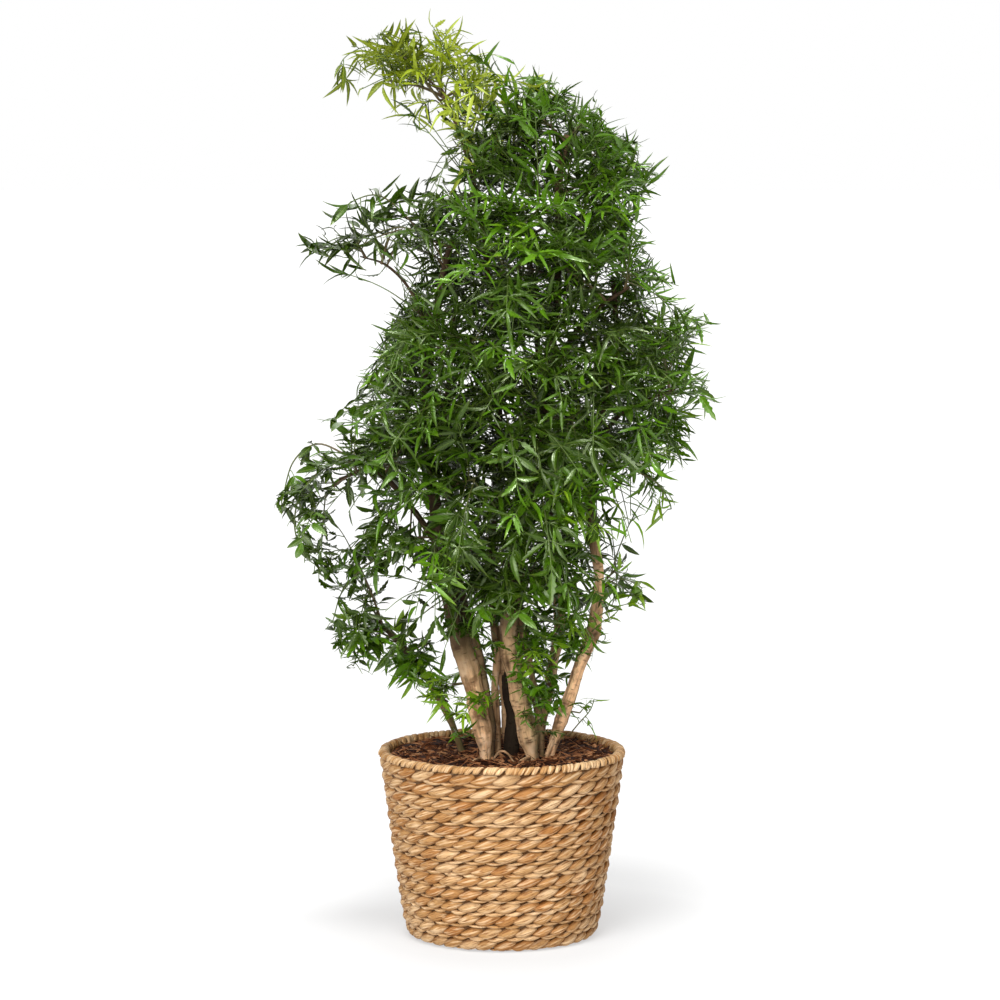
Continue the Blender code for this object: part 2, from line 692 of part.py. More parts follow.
def build():
    clear_scene()
    rng = random.Random(SEED)
    make_basket()
    make_liner()
    bark = plain_material("bark", (0.36, 0.25, 0.15), 0.85)
    cutters = bpy.data.collections.new("hole_cutters")
    bpy.context.scene.collection.children.link(cutters)
    wood = []
    placed = []
    for name, sides, foot_radius, tip_radius, route in TRUNKS:
        hole_cutter(name, sides, foot_radius, route, cutters)
        body = make_trunk(name, sides, foot_radius, tip_radius, route, bark)
        tree = BVHTree.FromPolygons(body.verts, body.faces)
        wood.append(([Vector(p) for p in route], tree))
        for trunk, height, _, bough_route in BOUGHS:
            if trunk == name:
                wood.append(([Vector(p) for p in bough_route], tree))
        placed.append(tree)
    make_soil(cutters)
    young = plain_material("young_leaf", (0.30, 0.38, 0.05), 0.45)
    green = plain_material("leaf", (0.07, 0.20, 0.03), 0.40)
    for k, place in enumerate(TOP_LEFT_SPRAYS + SPRAYS):
        material = young if k < len(TOP_LEFT_SPRAYS) else green
        make_spray("spray_%02d" % (k + 1), place, wood, placed, material, rng)


build()
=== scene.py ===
"""A potted ming aralia in a plaited basket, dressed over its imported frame."""
import json
import math
import random

import bpy
from bpy.props import FloatProperty, FloatVectorProperty, IntProperty, PointerProperty
from mathutils import Matrix, Vector, noise

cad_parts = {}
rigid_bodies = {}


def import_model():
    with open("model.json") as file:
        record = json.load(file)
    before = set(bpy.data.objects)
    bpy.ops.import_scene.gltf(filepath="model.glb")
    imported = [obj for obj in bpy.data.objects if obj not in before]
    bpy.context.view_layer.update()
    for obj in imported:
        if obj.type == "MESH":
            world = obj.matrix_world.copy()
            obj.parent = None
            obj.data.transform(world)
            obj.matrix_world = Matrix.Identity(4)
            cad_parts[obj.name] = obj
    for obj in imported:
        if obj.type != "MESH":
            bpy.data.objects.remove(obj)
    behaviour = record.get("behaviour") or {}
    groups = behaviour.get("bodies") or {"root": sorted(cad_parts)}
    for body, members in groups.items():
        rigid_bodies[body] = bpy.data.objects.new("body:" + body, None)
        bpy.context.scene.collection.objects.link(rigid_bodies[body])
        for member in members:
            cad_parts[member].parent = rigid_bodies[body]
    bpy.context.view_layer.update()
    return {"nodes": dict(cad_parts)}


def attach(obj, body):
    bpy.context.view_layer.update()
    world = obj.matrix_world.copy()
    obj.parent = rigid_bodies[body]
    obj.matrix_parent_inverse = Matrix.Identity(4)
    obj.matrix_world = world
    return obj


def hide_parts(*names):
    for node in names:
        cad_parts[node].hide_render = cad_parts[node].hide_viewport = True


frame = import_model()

bl_info = {
    "name": "Potted aralia",
    "version": (1, 0, 0),
    "blender": (4, 5, 0),
    "location": "3D View > Sidebar > Aralia",
    "description": "Makes a ming aralia in a plaited basket, piece by piece",
    "category": "Object",
}

UP = Vector((0.0, 0.0, 1.0))
SEED = 20

# Basket, as in the part
BASKET_HEIGHT = 0.250
BASKET_TOP_RADIUS = 0.164
BASKET_FOOT_RADIUS = 0.127
BASKET_BULGE = 0.85
BASKET_WALL = 0.012
BASKET_FOOT_ROUNDING = 0.016
RIM_HEIGHT = 0.010
RIM_RADIUS = 0.1615
SOIL_LEVEL = 0.232
SOIL_LOW = 0.0138
SOIL_INSET = 0.0018
SOIL_HEAP = 0.0112

TRUNK_ABOVE_FOOT = 0.93
TRUNK_BURIED = 0.200
TRUNK_STEP = 0.0045

# Trunks: name, radius at the foot and the tip, and the route from the soil up
TRUNKS = (
    ("trunk_left", 0.0135, 0.0040, (
        (-0.020, -0.055, SOIL_LEVEL), (-0.027, -0.054, 0.285), (-0.045, -0.050, 0.365),
        (-0.062, -0.045, 0.435), (-0.076, -0.040, 0.485), (-0.086, -0.035, 0.565),
        (-0.096, -0.030, 0.645), (-0.099, -0.030, 0.740), (-0.083, -0.028, 0.845),
        (-0.065, -0.030, 0.925))),
    ("trunk_middle", 0.0145, 0.0040, (
        (0.041, -0.045, SOIL_LEVEL), (0.034, -0.045, 0.285), (0.021, -0.043, 0.340),
        (0.010, -0.042, 0.395), (0.013, -0.040, 0.460), (0.031, -0.037, 0.555),
        (0.051, -0.034, 0.660), (0.064, -0.032, 0.780), (0.071, -0.030, 0.895),
        (0.077, -0.030, 1.000), (0.085, -0.028, 1.060))),
    ("trunk_thin", 0.0068, 0.0030, (
        (0.008, 0.000, SOIL_LEVEL), (0.007, 0.000, 0.290), (-0.003, 0.003, 0.375),
        (-0.014, 0.006, 0.450), (-0.014, 0.008, 0.525), (-0.008, 0.010, 0.615),
        (-0.003, 0.010, 0.740), (-0.016, 0.008, 0.870), (-0.034, 0.004, 0.985),
        (-0.056, 0.000, 1.065), (-0.080, 0.000, 1.118))),
    ("trunk_right", 0.0095, 0.0032, (
        (0.061, -0.016, SOIL_LEVEL), (0.077, -0.018, 0.285), (0.101, -0.020, 0.355),
        (0.120, -0.020, 0.415), (0.128, -0.020, 0.475), (0.120, -0.018, 0.540),
        (0.115, -0.018, 0.605), (0.129, -0.018, 0.685), (0.148, -0.016, 0.780),
        (0.146, -0.014, 0.875))),
    ("trunk_back_left", 0.0060, 0.0030, (
        (-0.050, 0.010, SOIL_LEVEL), (-0.068, 0.012, 0.285), (-0.100, 0.016, 0.340),
        (-0.132, 0.020, 0.385), (-0.165, 0.022, 0.415))),
    ("trunk_back", 0.0080, 0.0030, (
        (0.045, 0.045, SOIL_LEVEL), (0.056, 0.048, 0.290), (0.075, 0.056, 0.395),
        (0.072, 0.062, 0.490), (0.061, 0.070, 0.595), (0.052, 0.080, 0.715),
        (0.042, 0.086, 0.840), (0.036, 0.080, 0.945))),
    ("trunk_rear", 0.0070, 0.0030, (
        (-0.015, 0.072, SOIL_LEVEL), (-0.022, 0.074, 0.290), (-0.045, 0.082, 0.400),
        (-0.066, 0.090, 0.510), (-0.074, 0.096, 0.625), (-0.070, 0.098, 0.740),
        (-0.060, 0.094, 0.850))),
)

# Boughs: the trunk, the height that each grows from, its tip radius and its route. Each starts as
# thick as this share of its trunk.
BOUGH_SHARE = 0.62
BOUGHS = (
    ("trunk_left", 0.520, 0.0018, (
        (-0.118, -0.048, 0.575), (-0.165, -0.062, 0.625), (-0.212, -0.070, 0.615))),
    ("trunk_left", 0.790, 0.0010, (
        (-0.118, -0.030, 0.855), (-0.150, -0.026, 0.890), (-0.185, -0.022, 0.902))),
    ("trunk_middle", 0.730, 0.0018, (
        (0.092, -0.062, 0.800), (0.128, -0.078, 0.840), (0.165, -0.080, 0.865))),
    ("trunk_right", 0.650, 0.0018, (
        (0.155, -0.028, 0.695), (0.190, -0.034, 0.715), (0.226, -0.034, 0.730))),
    ("trunk_back", 0.550, 0.0028, (
        (0.098, 0.086, 0.595), (0.128, 0.102, 0.635), (0.150, 0.110, 0.680))),
    ("trunk_rear", 0.570, 0.0028, (
        (-0.100, 0.104, 0.605), (-0.128, 0.110, 0.645), (-0.150, 0.104, 0.680))),
)

# Bark: how green with algae and how dark each trunk is, where it isn't as most are
USUAL_BARK = (0.5, 0.45)
BARK_LOOKS = {
    "trunk_left": (0.25, 0.0), "trunk_middle": (1.0, 0.30), "trunk_right": (0.10, 0.0),
    "trunk_thin": (0.1, 0.30), "trunk_back_left": (1.0, 0.80),
}

# Thinner stems that grow up against a trunk: the trunk, radius at foot and tip, tone (darkness with painted
# shade) and route
COMPANIONS = (
    ("trunk_left", 0.0062, 0.0050, 0.85, (
        (-0.016, -0.047, 0.224), (-0.015, -0.046, 0.285), (-0.020, -0.044, 0.327), (-0.033, -0.043, 0.393),
        (-0.050, -0.042, 0.447), (-0.066, -0.041, 0.490))),
    # A short near-black stem, put between the thin and middle trunks as painted shadow.
    ("trunk_thin", 0.0130, 0.0030, 1.6, (
        (0.016, -0.012, 0.222), (0.012, -0.012, 0.256), (0.014, -0.008, 0.290), (0.006, -0.006, 0.322),
        (0.002, -0.002, 0.352))),
    ("trunk_left", 0.0026, 0.0012, 0.30, (
        (-0.012, -0.060, 0.244), (-0.002, -0.066, 0.256), (0.008, -0.070, 0.253), (0.018, -0.074, 0.238))),
    ("trunk_left", 0.0030, 0.0012, 0.25, (
        (-0.024, -0.060, 0.243), (-0.034, -0.072, 0.246), (-0.044, -0.086, 0.240), (-0.050, -0.094, 0.234))),
    ("trunk_middle", 0.0034, 0.0012, 0.25, (
        (0.036, -0.052, 0.244), (0.030, -0.066, 0.246), (0.020, -0.080, 0.242), (0.014, -0.090, 0.235))),
    ("trunk_thin", 0.0060, 0.0046, 0.30, (
        (-0.004, -0.016, 0.224), (-0.006, -0.014, 0.272), (-0.009, -0.012, 0.330), (-0.004, -0.004, 0.392))),
    ("trunk_right", 0.0060, 0.0050, 0.25, (
        (0.050, -0.030, 0.222), (0.060, -0.028, 0.246), (0.074, -0.022, 0.278), (0.082, -0.019, 0.300))),
    ("trunk_middle", 0.0050, 0.0040, 0.60, (
        (0.054, -0.030, 0.224), (0.049, -0.028, 0.290), (0.040, -0.030, 0.350), (0.026, -0.034, 0.420),
        (0.020, -0.038, 0.470))),
)

# Knots: the trunk, the height, the way each faces (x, y) and its radius
KNOTS = (
    ("trunk_right", 0.304, (-0.3, -1.0), 0.0070), ("trunk_right", 0.408, (0.5, -0.9), 0.0078),
    ("trunk_right", 0.352, (-0.9, -0.5), 0.0047), ("trunk_right", 0.262, (0.7, -0.7), 0.0062),
    ("trunk_left", 0.300, (0.6, -0.8), 0.0081), ("trunk_left", 0.395, (-0.5, -0.9), 0.0070),
    ("trunk_left", 0.345, (-0.9, -0.1), 0.0062), ("trunk_left", 0.265, (-0.4, -0.9), 0.0054),
    ("trunk_middle", 0.318, (0.8, -0.6), 0.0074), ("trunk_middle", 0.372, (-0.6, -0.8), 0.0065),
    ("trunk_middle", 0.268, (-0.2, -1.0), 0.0062), ("trunk_middle", 0.440, (0.3, -0.9), 0.0062),
    ("trunk_back", 0.330, (0.2, 1.0), 0.0053), ("trunk_rear", 0.350, (0.0, 1.0), 0.0053),
)

# Shoots: where the twig of each ends, and its size. They follow the part's sprays, in order.
SHOOTS = (
    (-0.150, -0.010, 1.130, 0.80), (-0.095, 0.010, 1.155, 0.80), (-0.040, -0.015, 1.120, 0.90),
    (0.045, -0.030, 1.085, 0.85), (0.105, 0.005, 1.075, 0.85), (0.140, -0.035, 1.010, 0.90),
    (0.010, 0.060, 1.030, 0.85), (0.118, 0.065, 0.955, 0.90), (0.045, -0.095, 0.965, 0.95),
    (-0.030, -0.040, 0.990, 0.90),
    (-0.190, -0.020, 0.920, 0.85), (-0.145, -0.055, 0.930, 0.85), (-0.100, 0.045, 0.905, 0.90),
    (0.000, -0.100, 0.890, 1.00), (0.085, -0.095, 0.885, 1.00), (0.165, -0.055, 0.880, 0.95),
    (-0.105, -0.060, 0.825, 0.90), (-0.030, -0.125, 0.800, 1.00), (0.055, -0.135, 0.790, 1.00),
    (0.130, -0.105, 0.785, 1.00), (0.195, 0.030, 0.810, 0.90), (0.210, -0.055, 0.770, 0.90),
    (0.090, -0.130, 0.695, 1.00), (0.005, -0.135, 0.705, 1.00),
    (-0.075, -0.110, 0.720, 1.00), (-0.135, 0.050, 0.735, 0.90), (-0.125, -0.070, 0.660, 1.00),
    (-0.035, -0.130, 0.620, 1.00), (0.050, -0.130, 0.605, 1.00), (0.130, -0.095, 0.625, 1.00),
    (0.180, 0.050, 0.635, 0.95), (0.218, 0.010, 0.715, 0.90),
    (-0.195, -0.085, 0.650, 0.90), (-0.230, -0.070, 0.590, 0.85), (-0.200, -0.020, 0.520, 0.95),
    (-0.145, -0.090, 0.565, 1.00), (-0.085, -0.105, 0.535, 1.00), (-0.010, -0.110, 0.520, 1.00),
    (0.070, -0.095, 0.500, 0.95), (-0.075, -0.085, 0.465, 0.85), (-0.175, 0.025, 0.435, 0.90),
    (0.160, 0.020, 0.490, 0.85),
    (-0.120, 0.120, 0.790, 0.95), (0.020, 0.150, 0.870, 0.95), (0.130, 0.110, 0.780, 0.95),
    (-0.060, 0.155, 0.670, 1.00), (0.055, 0.155, 0.645, 1.00), (0.165, 0.125, 0.690, 0.90),
    (-0.165, 0.110, 0.615, 0.90), (0.020, 0.140, 0.520, 0.90),
)

# Regions of the foliage: the piece, its habit, and the numbers of its shoots
REGIONS = (
    ("foliage_young_top", "young", (1, 2, 3)),
    ("foliage_crown", "fine", (4, 5, 6, 7, 8, 9, 10)),
    ("foliage_left_branch", "curved", (11, 12, 13)),
    ("foliage_upper_front", "long", (14, 15, 17, 18, 19, 20, 25)),
    ("foliage_right", "long", (16, 21, 22, 30, 31, 32)),
    ("foliage_lower_front", "mixed", (23, 24, 27, 28, 29, 37, 38, 39, 42)),
    ("foliage_lower_left", "broad", (26, 33, 34, 35, 36, 40, 41)),
    ("foliage_back", "long", (43, 44, 45, 46, 47, 48, 49, 50)),
)

# Growth rules of the twigs, as in the part
LOWEST_TWIG = 0.290
SEAT_SHARES = (0.2, 0.5, 0.8)
DROP_COST = 0.9
TWIG_RISE = 0.25
TWIG_BEND = 0.45
TWIG_RADIUS = 0.0022
PLANT_AXIS_X = 0.020
PLANT_TOP = 1.210
LOW_AIM = -0.30
HIGH_AIM = 0.45
OUTWARD_AIM = 0.5
GOLDEN_ANGLE = 2.39996

# How far the leaves reach to the left and right at each height
OUTLINE = (
    (0.286, -0.065, 0.122), (0.313, -0.136, 0.126), (0.340, -0.133, 0.104),
    (0.367, -0.209, 0.108), (0.394, -0.222, 0.144), (0.420, -0.234, 0.129),
    (0.447, -0.211, 0.194), (0.474, -0.235, 0.197), (0.500, -0.248, 0.192),
    (0.527, -0.266, 0.135), (0.553, -0.268, 0.213), (0.580, -0.300, 0.230),
    (0.606, -0.281, 0.198), (0.633, -0.268, 0.244), (0.659, -0.250, 0.250),
    (0.686, -0.240, 0.266), (0.712, -0.192, 0.281), (0.738, -0.192, 0.275),
    (0.765, -0.159, 0.238), (0.791, -0.169, 0.256), (0.818, -0.145, 0.268),
    (0.844, -0.137, 0.223), (0.870, -0.202, 0.221), (0.896, -0.263, 0.201),
    (0.923, -0.262, 0.184), (0.949, -0.238, 0.186), (0.975, -0.210, 0.188),
    (1.001, -0.140, 0.201), (1.027, -0.072, 0.196), (1.053, -0.090, 0.169),
    (1.079, -0.128, 0.133), (1.105, -0.205, 0.128), (1.131, -0.222, 0.066),
    (1.157, -0.218, 0.006), (1.183, -0.185, -0.035), (1.200, -0.166, -0.050), (1.210, -0.105, -0.070),
)
DEPTH_REACH = 0.245

# Habits: how the fronds of a kind of shoot, sprig or vine are made
HABITS = {
    "long": {"fronds": 15, "nodes": (2, 4), "pitch": 0.024, "petiole": 0.024, "blade": 0.038,
             "stem": (0.003, 0.013), "blades": (3, 3, 5), "forms": (0, 0, 1, 2, 3, 3, 4), "tint": 0.37,
             "width": 1.0, "lift": 0.2},
    "mixed": {"fronds": 11, "nodes": (2, 4), "pitch": 0.026, "petiole": 0.024, "blade": 0.038,
              "stem": (0.003, 0.013), "blades": (3, 3, 5), "forms": (0, 1, 2, 3, 4, 6, 7), "tint": 0.30,
              "width": 1.08},
    "fine": {"fronds": 12, "nodes": (3, 5), "pitch": 0.022, "petiole": 0.022, "blade": 0.038,
             "stem": (0.005, 0.016), "blades": (3, 5, 5), "forms": (0, 1, 2, 4, 1, 2), "tint": 0.48,
             "width": 1.12, "droop": 0.15, "lift": 0.5},
    "curved": {"fronds": 5, "nodes": (2, 3), "pitch": 0.026, "petiole": 0.024, "blade": 0.043,
               "stem": (0.004, 0.012), "blades": (1, 3, 3), "forms": (7, 6, 1, 2, 7), "tint": 0.16,
               "width": 1.0},
    "broad": {"fronds": 6, "nodes": (2, 4), "pitch": 0.024, "petiole": 0.024, "blade": 0.034,
              "stem": (0.003, 0.012), "blades": (3, 3, 5), "forms": (6, 4, 6, 4, 2, 5), "tint": 0.18,
              "width": 1.2},
    "young": {"fronds": 9, "nodes": (3, 5), "pitch": 0.020, "petiole": 0.018, "blade": 0.037,
              "stem": (0.004, 0.014), "blades": (3, 3, 5), "forms": (0, 1, 2, 1, 2, 4), "tint": 0.52,
              "width": 1.0, "droop": 0.9, "lift": 0.2},
    "sprig": {"nodes": (1, 3), "pitch": 0.013, "petiole": 0.011, "blade": 0.022, "stem": (0.001, 0.006),
              "blades": (1, 3, 3), "forms": (0, 1, 2, 4, 6), "tint": 0.76, "width": 1.30},
    "olive": {"pitch": 0.016, "petiole": 0.014, "blade": 0.029, "stem": (0.002, 0.009),
              "blades": (3, 3, 5), "forms": (6, 6, 4, 5, 2), "tint": 0.24, "width": 1.3},
    "arching": {"pitch": 0.018, "petiole": 0.014, "blade": 0.042, "stem": (0.002, 0.009),
                "blades": (1, 3, 3), "forms": (7, 6, 7, 1, 2), "tint": 0.19, "width": 0.9, "lift": 0.25},
    "crest": {"pitch": 0.017, "petiole": 0.016, "blade": 0.038, "stem": (0.003, 0.010),
              "blades": (3, 3, 5), "forms": (1, 2, 7, 1, 2, 4), "tint": 0.42, "width": 1.05, "lift": 0.5},
    "feather": {"pitch": 0.015, "petiole": 0.016, "blade": 0.033, "stem": (0.003, 0.011),
                "blades": (3, 3, 5), "forms": (0, 1, 2, 1, 2, 7), "tint": 0.68, "width": 1.0, "lift": 0.25},
}

# Open places where few leaves grow: the middle (x, z), its radius and the share of leaves kept
CLEARINGS = (
    (-0.196, 0.578, 0.034, 0.05), (-0.202, 0.540, 0.024, 0.15), (-0.114, 0.462, 0.036, 0.12),
    (0.162, 0.520, 0.036, 0.12), (0.088, 0.372, 0.034, 0.05), (-0.080, 0.385, 0.022, 0.20),
    (-0.165, 0.470, 0.030, 0.40), (-0.215, 0.500, 0.100, 0.45), (0.190, 0.560, 0.030, 0.30),
    (-0.150, 0.905, 0.042, 0.35), (-0.092, 1.012, 0.031, 0.20), (-0.150, 0.868, 0.038, 0.10),
    (-0.172, 1.098, 0.050, 0.08), (-0.205, 0.685, 0.030, 0.50), (0.162, 0.592, 0.030, 0.12),
    (-0.200, 0.466, 0.022, 0.30), (0.205, 0.832, 0.026, 0.40),
    (0.128, 0.575, 0.014, 0.10), (-0.088, 1.052, 0.028, 0.04), (-0.062, 1.036, 0.024, 0.12),
    (0.004, 1.122, 0.030, 0.08), (-0.030, 1.075, 0.022, 0.35), (-0.102, 1.192, 0.013, 0.10),
)
# The bare lower trunks: how far leaves hang between these sides, and the share below that is kept
BARE_SIDES = (-0.062, 0.125)
BARE_HEIGHT = 0.425
BARE_KEPT = 0.10

# Younger, brighter growth: the middle of each patch (x, z), its radius and how much brighter
BRIGHT_PATCHES = (
    (0.235, 0.700, 0.075, 0.34), (-0.150, 0.780, 0.070, 0.22),
    (-0.040, 0.345, 0.050, 0.40), (-0.130, 0.520, 0.060, 0.16),
    (0.075, 0.790, 0.065, -0.20), (0.140, 0.650, 0.070, 0.24), (-0.200, 1.145, 0.066, -0.60),
    (-0.100, 1.108, 0.055, 0.36), (0.000, 1.020, 0.050, -0.30), (-0.085, 1.190, 0.032, -0.30),
    (-0.020, 1.095, 0.048, 0.52), (0.090, 1.000, 0.060, 0.10), (0.178, 0.900, 0.060, 0.36),
    (0.190, 0.570, 0.070, 0.26), (-0.085, 0.570, 0.050, 0.20),
)


def basket_radius(height):
    """Outer radius of the plaited wall, which bulges a little and turns in at the foot."""
    share = height / BASKET_HEIGHT
    taper = BASKET_FOOT_RADIUS + (BASKET_TOP_RADIUS - BASKET_FOOT_RADIUS) * share ** BASKET_BULGE
    if height < BASKET_FOOT_ROUNDING:
        rise = 1.0 - height / BASKET_FOOT_ROUNDING
        taper -= BASKET_FOOT_ROUNDING * (1.0 - math.sqrt(max(0.0, 1.0 - rise * rise)))
    return taper


def inner_radius(height):
    share = height / BASKET_HEIGHT
    return BASKET_FOOT_RADIUS - BASKET_WALL + (BASKET_TOP_RADIUS - BASKET_FOOT_RADIUS) * share


# Meshes


def link(piece):
    bpy.context.scene.collection.objects.link(piece)
    return piece


def mesh_object(name, verts, faces, attributes=None, edges=(), smooth=True):
    """A mesh at the origin. Attributes are {name: (type, values)}, one value for each point."""
    mesh = bpy.data.meshes.new(name)
    mesh.from_pydata([tuple(v) for v in verts], list(edges), [tuple(f) for f in faces])
    for key, (kind, values) in (attributes or {}).items():
        layer = mesh.attributes.new(key, kind, "POINT")
        if kind == "FLOAT_VECTOR":
            layer.data.foreach_set("vector", [c for v in values for c in v])
        else:
            layer.data.foreach_set("value", values)
    if smooth and faces:
        mesh.shade_smooth()
    mesh.update()
    return bpy.data.objects.new(name, mesh)


def lathe(rings, count):
    """Rings of (radius, height) turned round the upright axis, closed by a point at each end."""
    verts, faces = [], []
    for k, (radius, height) in enumerate(rings):
        for i in range(count):
            angle = math.tau * i / count
            verts.append(Vector((radius * math.cos(angle), radius * math.sin(angle), height)))
        if k:
            low, high = (k - 1) * count, k * count
            for i in range(count):
                j = (i + 1) % count
                faces.append((low + i, low + j, high + j, high + i))
    first, last = len(verts), len(verts) + 1
    verts += [Vector((0.0, 0.0, rings[0][1])), Vector((0.0, 0.0, rings[-1][1]))]
    top = (len(rings) - 1) * count
    for i in range(count):
        j = (i + 1) % count
        faces += [(first, j, i), (last, top + i, top + j)]
    return verts, faces


def tube_faces(start, sides, count):
    """The faces of a closed tube with this many rings, whose points begin at start."""
    rings = [[start + k * sides + i for i in range(sides)] for k in range(count)]
    faces = []
    for low, high in zip(rings, rings[1:]):
        for i in range(sides):
            j = (i + 1) % sides
            faces.append((low[i], low[j], high[j], high[i]))
    return faces + [tuple(rings[0][::-1]), tuple(rings[-1])]


def smooth_route(points, radii, step):
    """Points and radii every step along a smooth line through the given ones."""
    line = [Vector(p) for p in points]
    line = [line[0] * 2 - line[1]] + line + [line[-1] * 2 - line[-2]]
    places, widths = [], []
    for k in range(1, len(line) - 2):
        a, b, c, d = line[k - 1:k + 3]
        count = max(1, round((c - b).length / step))
        for i in range(count):
            t = i / count
            bend = (2 * a - 5 * b + 4 * c - d) * t * t + (3 * b - a - 3 * c + d) * t ** 3
            places.append(0.5 * (2 * b + (c - a) * t + bend))
            widths.append(radii[k - 1] + (radii[k] - radii[k - 1]) * t)
    places.append(line[-2].copy())
    widths.append(radii[-1])
    return places, widths


def turned_frames(places):
    """A direction and a side for each point of a line, turned as little as possible."""
    side = Vector((1.0, 0.0, 0.0))
    frames = []
    for i in range(len(places)):
        ahead = (places[min(i + 1, len(places) - 1)] - places[max(i - 1, 0)]).normalized()
        side = (side - ahead * side.dot(ahead)).normalized()
        frames.append((ahead, side))
    return frames


# Nodes


def node(tree, kind, inputs=None, **settings):
    """A node with its settings, and its inputs set to a value or linked to a socket."""
    made = tree.nodes.new(kind)
    for key, value in settings.items():
        setattr(made, key, value)
    for key, value in (inputs or {}).items():
        if isinstance(value, bpy.types.NodeSocket):
            tree.links.new(value, made.inputs[key])
        else:
            made.inputs[key].default_value = value
    return made


def new_tree(name, sockets):
    """A geometry tree, its given sockets (name, kind, default) and the socket that takes its result."""
    tree = bpy.data.node_groups.new(name, "GeometryNodeTree")
    tree.interface.new_socket("Geometry", in_out="INPUT", socket_type="NodeSocketGeometry")
    for label, kind, default in sockets:
        socket = tree.interface.new_socket(label, in_out="INPUT", socket_type="NodeSocket" + kind)
        if default is not None:
            socket.default_value = default
    tree.interface.new_socket("Geometry", in_out="OUTPUT", socket_type="NodeSocketGeometry")
    return tree, tree.nodes.new("NodeGroupInput").outputs, tree.nodes.new("NodeGroupOutput").inputs[0]


def run_tree(carrier, tree, values, name):
    """Puts the tree on the carrier and turns its result into a plain mesh of its own."""
    link(carrier)
    modifier = carrier.modifiers.new("build", "NODES")
    modifier.node_group = tree
    for item in tree.interface.items_tree:
        if item.item_type == "SOCKET" and item.in_out == "INPUT" and item.name in values:
            modifier[item.identifier] = values[item.name]
    graph = bpy.context.evaluated_depsgraph_get()
    mesh = bpy.data.meshes.new_from_object(carrier.evaluated_get(graph))
    carrier.modifiers.remove(modifier)
    bpy.data.objects.remove(carrier, do_unlink=True)
    if not len(mesh.polygons):
        raise RuntimeError("the tree made nothing for " + name)
    piece = link(bpy.data.objects.new(name, mesh))
    mesh.name = name
    return piece


def join_pieces(name, pieces):
    """One mesh from several, with their materials."""
    bpy.ops.object.select_all(action="DESELECT")
    for piece in pieces:
        piece.select_set(True)
    bpy.context.view_layer.objects.active = pieces[0]
    bpy.ops.object.join()
    pieces[0].name = name
    pieces[0].data.name = name
    return pieces[0]


def forms_collection(name, forms):
    shelf = bpy.data.collections.new(name)
    for form in forms:
        shelf.objects.link(form)
    return shelf


def clear_forms(shelf):
    for form in list(shelf.objects):
        bpy.data.objects.remove(form, do_unlink=True)
    bpy.data.collections.remove(shelf)


def math_node(tree, operation, *values):
    return node(tree, "ShaderNodeMath", dict(enumerate(values)), operation=operation).outputs[0]


def scaled(tree, value, share):
    return math_node(tree, "MULTIPLY", value, share)


def attribute(tree, key, kind):
    return node(tree, "GeometryNodeInputNamedAttribute", {"Name": key}, data_type=kind).outputs[0]


def standing_forms(tree, points, forms, scale, selection=None):
    """Forms stood on points, which say by attribute which form, how it is turned and how big."""
    shelf = node(tree, "GeometryNodeCollectionInfo", {
        "Collection": forms, "Separate Children": True, "Reset Children": True})
    turn = node(tree, "FunctionNodeEulerToRotation", {"Euler": attribute(tree, "turn", "FLOAT_VECTOR")})
    size = node(tree, "ShaderNodeVectorMath", {0: attribute(tree, "size", "FLOAT_VECTOR")}, operation="SCALE")
    tree.links.new(scale, size.inputs["Scale"])
    inputs = {
        "Points": points, "Instance": shelf.outputs[0], "Pick Instance": True,
        "Instance Index": attribute(tree, "form", "INT"), "Rotation": turn.outputs[0],
        "Scale": size.outputs[0],
    }
    if selection is not None:
        inputs["Selection"] = selection
    return node(tree, "GeometryNodeInstanceOnPoints", inputs).outputs[0]


def made_real(tree, forms, material):
    """Stood forms turned into one mesh with this material."""
    real = node(tree, "GeometryNodeRealizeInstances", {"Geometry": forms})
    return node(tree, "GeometryNodeSetMaterial", {
        "Geometry": real.outputs[0], "Material": material}).outputs[0]


def plait_tree():
    """Stands the lobes and wraps of the basket on their seats."""
    tree, given, out = new_tree("plait_lobes", (
        ("Lobes", "Collection", None), ("Plumpness", "Float", 1.0), ("Fibre", "Material", None)))
    stood = standing_forms(tree, given["Geometry"], given["Lobes"], given["Plumpness"])
    tree.links.new(made_real(tree, stood, given["Fibre"]), out)
    return tree


def foliage_tree():
    """Stands leaflets on the leaf points, and gives the edges a round stalk."""
    tree, given, out = new_tree("fronds", (
        ("Leaflets", "Collection", None), ("Leaflet Size", "Float", 1.0), ("Stalk Size", "Float", 1.0),
        ("Stalk Sides", "Int", 4), ("Leaf", "Material", None), ("Stalk", "Material", None)))
    plant = given["Geometry"]
    stood = standing_forms(
        tree, plant, given["Leaflets"], given["Leaflet Size"], attribute(tree, "leaf", "BOOLEAN"))
    leaves = made_real(tree, stood, given["Leaf"])
    lines = node(tree, "GeometryNodeMeshToCurve", {"Mesh": plant})
    thick = scaled(tree, attribute(tree, "thickness", "FLOAT"), given["Stalk Size"])
    ring = node(tree, "GeometryNodeCurvePrimitiveCircle", {
        "Resolution": given["Stalk Sides"], "Radius": 1.0})
    tube = node(tree, "GeometryNodeCurveToMesh", {
        "Curve": lines.outputs[0], "Profile Curve": ring.outputs[0], "Scale": thick,
        "Fill Caps": True})
    soft = node(tree, "GeometryNodeSetShadeSmooth", {"Geometry": tube.outputs[0]})
    stalks = node(tree, "GeometryNodeSetMaterial", {
        "Geometry": soft.outputs[0], "Material": given["Stalk"]})
    both = node(tree, "GeometryNodeJoinGeometry", {"Geometry": leaves})
    tree.links.new(stalks.outputs[0], both.inputs[0])
    tree.links.new(both.outputs[0], out)
    return tree


